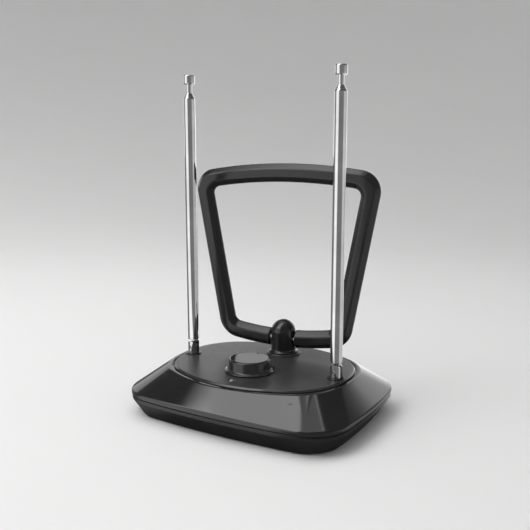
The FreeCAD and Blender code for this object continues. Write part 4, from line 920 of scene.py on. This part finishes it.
def make_post():
    """Round-headed post in two halves, its collar on the deck, and the clamp screw."""
    deck = DECK_Z - pivot.z
    collar = turned([
        (8.25, 0, 0), (10.7, 0, 0.1), (10.7, 0.75, 0.3), (10.3, 1.1, 0.3), (8.25, 1.1, 0.12),
    ], FINE_ROUND, closed=True)
    show(collar, "post_collar", place=at(0, pivot.y, DECK_Z))
    profile = [
        (0, -18.35, 0), (5, -18.35, 0.3), (5, -16.35, 0), (4.2, -16.35, 0), (4.2, -15.25, 0), (5, -15.25, 0),
        (5, deck + 0.1, 0), (POST_RADIUS, deck + 0.1, 0), (POST_RADIUS, deck + 1.2, 0),
        (9.3, deck + 1.2, 0.1), (9.3, deck + 1.8, 0.2), (9.0, deck + 2.1, 0.2), (8.5, deck + 2.1, 0.5),
        (POST_RADIUS, deck + 2.9, 0.7),
    ] + dome(POST_RADIUS, DOME_CENTRE, 20)
    bore = moved(peg(3.6, -9, 9), about("Y", 90))
    across = about("X", 90)
    back = about("X", -90)
    screw_at = at(0, 0, 8.0)
    hole = turned([
        (0, -1, 0), (CLAMP_RADIUS, -1, 0), (CLAMP_RADIUS, CLAMP_SEAT, 0), (2.5, CLAMP_SEAT, 0), (2.5, 12, 0),
        (0, 12, 0),
    ], SMALL_ROUND)
    holes = {-1: moved(peg(CLAMP_RADIUS, -1, 4.5), screw_at @ across), 1: moved(hole, screw_at @ back)}
    for node, side in (("loop_post_front", -1), ("loop_post_rear", 1)):
        half = halved(turned(profile, ROUND), side)
        show(cut_by(half, bore, holes[side]), node, place=loop_place)
    screw = turned([
        (0, -4.5, 0), (0.9, -4.5, 0), (CLAMP_RADIUS, -4.1, 0), (CLAMP_RADIUS, CLAMP_SEAT, 0),
        (2.3, CLAMP_SEAT, 0.05), (2.3, 4.2, 0.3), (1.7, 4.8, 0.4), (0, 4.8, 0),
    ], SMALL_ROUND)
    bars = joined_to(
        block((-1.3, -0.28, 4.0), (1.3, 0.28, 5.5)), block((-0.28, -1.3, 3.9), (0.28, 1.3, 5.6)),
    )
    show(moved(cut_by(screw, bars), screw_at @ back), "post_screw", place=loop_place)


make_lower_shell()
make_upper_shell()
make_top_deck()
make_feet_and_screws()
make_connectors()
make_knob_and_lamp()
make_rod("left", -1)
make_rod("right", 1)
make_post()
make_frame_half(-1, "loop_frame_front")
make_frame_half(1, "loop_frame_rear")

# CAD nodes that are still shown keep their meshes and take their slot's finish.
for name, item in frame["nodes"].items():
    if not item.hide_render:
        item.data.materials.clear()
        item.data.materials.append(finishes[slot_of[name]])


# ------------------------------------------------------------------ floor, light and camera

# Everything here is in metres and degrees. Headings count as the camera's azimuth does.
# Half width of the level floor, half width and height of the wall it curves up into.
FLOOR_SHAPE = (0.8, 3.0, 2.2)
FLOOR_EDGE = 0.02
# Radiance of the painted glow that reflections see in place of the floor, and the share of it that is left in the
# painted shade right beside the base and at the top of the wall.
PAINTED_FLOOR_GLOW = 0.24
PAINTED_SHADE_BESIDE = 0.2
PAINTED_SHADE_ABOVE = 0.42
# Brighter painted sectors of light in it: apex along X, heading, half width, radiance, and height where it ends.
PAINTED_LIGHT_SECTORS = ((0.045, -37, 27, 1.1, 4.0), (0.0, 178, 22, 1.3, 2.2), (0.0, 110, 30, 0.5, 0.6))
# Where the painted shade, a dark strip beside the base, fades out, measured from the middle with the length along
# X shortened to suit the outline of the base.
PAINTED_SHADE_REACH = (0.060, 0.080)
SHORTEN = (0.75, 1.0, 1.0)
# Height of the overhead softboxes, and how far they are turned.
CEILING = 1.2
OVERHEAD_TURN = -8.0
BASE_MIDDLE = Vector((0, 0, 0.03))
DOWN = (0, 0, -1)


def make_floor():
    """Large pale floor that curves up into a wall all round, with a faint mottle, and a painted glow with painted
    light and shade that only reflections see.
    """
    flat, wall, height = FLOOR_SHAPE
    steps = 24
    rise = []
    for i in range(steps + 1):
        angle = math.pi / 2 * i / steps
        rise.append((flat + (wall - flat) * math.sin(angle), height * (1 - math.cos(angle)), 0))
    outside = [(wall + FLOOR_EDGE, height, 0), (wall + FLOOR_EDGE, -FLOOR_EDGE, 0), (0, -FLOOR_EDGE, 0)]
    mesh = turned([(0, 0, 0)] + rise + outside, FINE_ROUND)
    mesh.shade_smooth()
    mesh.set_sharp_from_angle(angle=SHARP_ANGLE)
    mesh.name = "floor"
    floor = bpy.data.objects.new("floor", mesh)
    bpy.context.scene.collection.objects.link(floor)
    material = bpy.data.materials.new("floor_painted_reflection")
    material.use_nodes = True
    tree = material.node_tree
    shader = tree.nodes["Principled BSDF"]
    where = add(tree, "ShaderNodeTexCoord").outputs["Object"]
    mottle = noise(tree, where, 3.0, 3.0)
    tree.links.new(mix(tree, mottle, (0.78, 0.78, 0.78), (0.82, 0.82, 0.815)), shader.inputs["Base Color"])
    tree.links.new(spread(tree, mottle, 0.3, 0.7, 0.55, 0.65), shader.inputs["Roughness"])
    shader.inputs["Specular IOR Level"].default_value = 0.0
    # Reflections see a painted glow in place of the floor: a painted reflection, dimmer than the floor, with
    # brighter painted sectors of light and painted shade beside the base.
    shortened = add(tree, "ShaderNodeVectorMath", {1: SHORTEN}, operation="MULTIPLY")
    tree.links.new(where, shortened.inputs[0])
    reach = add(tree, "ShaderNodeVectorMath", operation="LENGTH")
    tree.links.new(shortened.outputs[0], reach.inputs[0])
    # Painted shade: the glow is darker right beside the base.
    near = spread(tree, reach.outputs["Value"], *PAINTED_SHADE_REACH, 0.0, 1.0)
    level = spread(tree, near, 0.0, 1.0, PAINTED_FLOOR_GLOW * PAINTED_SHADE_BESIDE, PAINTED_FLOOR_GLOW)
    upward = add(tree, "ShaderNodeSeparateXYZ")
    tree.links.new(where, upward.inputs[0])
    # Painted shade: the glow is dimmer towards the top of the wall.
    level = times(tree, level, spread(tree, upward.outputs["Z"], 0.4, 2.1, 1.0, PAINTED_SHADE_ABOVE))
    # Painted light: brighter sectors are added to the glow that reflections see.
    for apex, centre, half, bright, top in PAINTED_LIGHT_SECTORS:
        from_apex = add(tree, "ShaderNodeVectorMath", {1: (apex, 0.0, 0.0)}, operation="SUBTRACT")
        tree.links.new(where, from_apex.inputs[0])
        parts = add(tree, "ShaderNodeSeparateXYZ")
        tree.links.new(from_apex.outputs[0], parts.inputs[0])
        bearing = add(tree, "ShaderNodeMath", operation="ARCTAN2")
        tree.links.new(parts.outputs["X"], bearing.inputs[0])
        tree.links.new(parts.outputs["Y"], bearing.inputs[1])
        offset = add(tree, "ShaderNodeMath", {1: math.radians(180 - centre)}, operation="SUBTRACT")
        tree.links.new(bearing.outputs[0], offset.inputs[0])
        away = add(tree, "ShaderNodeMath", operation="COSINE")
        tree.links.new(offset.outputs[0], away.inputs[0])
        inner = math.cos(math.radians(half * 0.8))
        outer = math.cos(math.radians(half * 1.2))
        painted_sector = spread(tree, away.outputs[0], outer, inner, 0.0, bright)
        painted_sector = times(tree, painted_sector, spread(tree, parts.outputs["Z"], top * 0.5, top, 1.0, 0.0))
        level = plus(tree, level, times(tree, painted_sector, near))
    # Painted reflection: an emission that glossy rays see in place of the floor.
    painted_glow = add(tree, "ShaderNodeEmission")
    tree.links.new(level, painted_glow.inputs["Strength"])
    either = add(tree, "ShaderNodeMixShader")
    tree.links.new(add(tree, "ShaderNodeLightPath").outputs["Is Glossy Ray"], either.inputs["Fac"])
    tree.links.new(shader.outputs["BSDF"], either.inputs[1])
    tree.links.new(painted_glow.outputs["Emission"], either.inputs[2])
    tree.links.new(either.outputs["Shader"], tree.nodes["Material Output"].inputs["Surface"])
    mesh.materials.append(material)


def fade_in(data, along, start, end):
    """Let an area light fade in along a direction over its face, whose sides both run from
    0 to 1."""
    data.use_nodes = True
    tree = data.node_tree
    reach = add(tree, "ShaderNodeVectorMath", {1: along}, operation="DOT_PRODUCT")
    tree.links.new(add(tree, "ShaderNodeNewGeometry").outputs["Parametric"], reach.inputs[0])
    strength = spread(tree, reach.outputs["Value"], start, end, 0.0, 1.0)
    tree.links.new(strength, tree.nodes["Emission"].inputs["Strength"])


def softbox(name, place, facing, size, radiance, spin=0.0, fade=None, glossy=True, diffuse=True):
    """Rectangular area light at a place, facing a direction, with its size as width and height.
    It may be left out of reflections, or light nothing but them."""
    width, height = size
    data = bpy.data.lights.new(name, "AREA")
    data.shape = "RECTANGLE"
    data.size = width
    data.size_y = height
    data.energy = radiance * math.pi * width * height
    light = bpy.data.objects.new(name, data)
    light.location = place
    light.rotation_mode = "QUATERNION"
    turn = Vector(facing).normalized().to_track_quat("-Z", "Y")
    light.rotation_quaternion = turn @ Matrix.Rotation(math.radians(spin), 3, "Z").to_quaternion()
    light.visible_camera = False
    light.visible_glossy = glossy
    light.visible_diffuse = diffuse
    if fade:
        fade_in(data, *fade)
    bpy.context.scene.collection.objects.link(light)


def towards(azimuth, elevation):
    """Unit vector at an azimuth, from the front towards the right, and an elevation."""
    side, up = math.radians(azimuth), math.radians(elevation)
    return Vector((math.sin(side) * math.cos(up), -math.cos(side) * math.cos(up), math.sin(up)))


def panel(name, azimuth, elevation, distance, size, radiance):
    """Card that stands at a heading and faces the base, seen only in reflections."""
    away = towards(azimuth, elevation) * distance
    softbox(name, BASE_MIDDLE + away, -away, size, radiance, diffuse=False)


def overhead(name, u, v, radiance, fade=None):
    """Softbox that hangs level over the object. Its ends to the right (u) and to the back (v)
    are given as shares of its height."""
    turn = math.radians(OVERHEAD_TURN)
    across = Vector((math.cos(turn), math.sin(turn), 0))
    along = Vector((-math.sin(turn), math.cos(turn), 0))
    place = (across * (u[0] + u[1]) + along * (v[0] + v[1])) * CEILING / 2 + Vector((0, 0, CEILING))
    size = ((u[1] - u[0]) * CEILING, (v[1] - v[0]) * CEILING)
    softbox(name, place, DOWN, size, radiance, OVERHEAD_TURN, fade)


def make_world(level):
    """Even dim surroundings."""
    world = bpy.data.worlds.new("studio")
    world.use_nodes = True
    world.node_tree.nodes["Background"].inputs["Color"].default_value = (level, level, level * 1.01, 1.0)
    bpy.context.scene.world = world


# Azimuth and elevation of the camera, its distance from what it looks at, which is this far
# to the right of the middle and this high, in millimetres, and its focal length.
CAMERA_HEADING = (30.03, 9.25)
CAMERA_DISTANCE = 397.66
TARGET_RIGHT = 2.69
TARGET_HEIGHT = 89.86
FOCAL_LENGTH = 45.41


def make_camera():
    """Camera to the right of the object's front and a little above it."""
    back = towards(*CAMERA_HEADING)
    right = towards(CAMERA_HEADING[0] + 90, 0)
    target = right * TARGET_RIGHT + Vector((0, ROD_Y, TARGET_HEIGHT))
    data = bpy.data.cameras.new("camera")
    data.sensor_width = 36.0
    data.lens = FOCAL_LENGTH
    data.clip_start = 0.01
    camera = bpy.data.objects.new("camera", data)
    camera.location = (target + back * CAMERA_DISTANCE) * MM
    camera.rotation_mode = "QUATERNION"
    camera.rotation_quaternion = (-back).to_track_quat("-Z", "Y")
    bpy.context.scene.collection.objects.link(camera)
    bpy.context.scene.camera = camera


# The key light fades out towards one of its corners.
KEY_FADE = ((1.106, -0.774, 0), -0.177, 0.248)

bpy.context.scene.view_settings.view_transform = "Standard"
make_floor()
make_world(0.10)
overhead("key", (-1.3, -0.03), (-1.5, 0.08), 3.4, fade=KEY_FADE)
overhead("top_panel", (-0.9, -0.03), (0.085, 0.33), 0.9)
overhead("right_panel", (-0.025, 0.2), (-0.6, 0.33), 0.9)
overhead("top_strip", (-0.9, 0.2), (0.335, 0.375), 1.8)
panel("left_back", -127, 14, 1.5, (1.4, 0.5), 0.85)
panel("back", -148, 5, 1.4, (0.8, 0.22), 1.2)
softbox("floor_fill", Vector((0, -0.1, 3.0)), DOWN, (5.6, 5.6), 0.5, glossy=False)
make_camera()
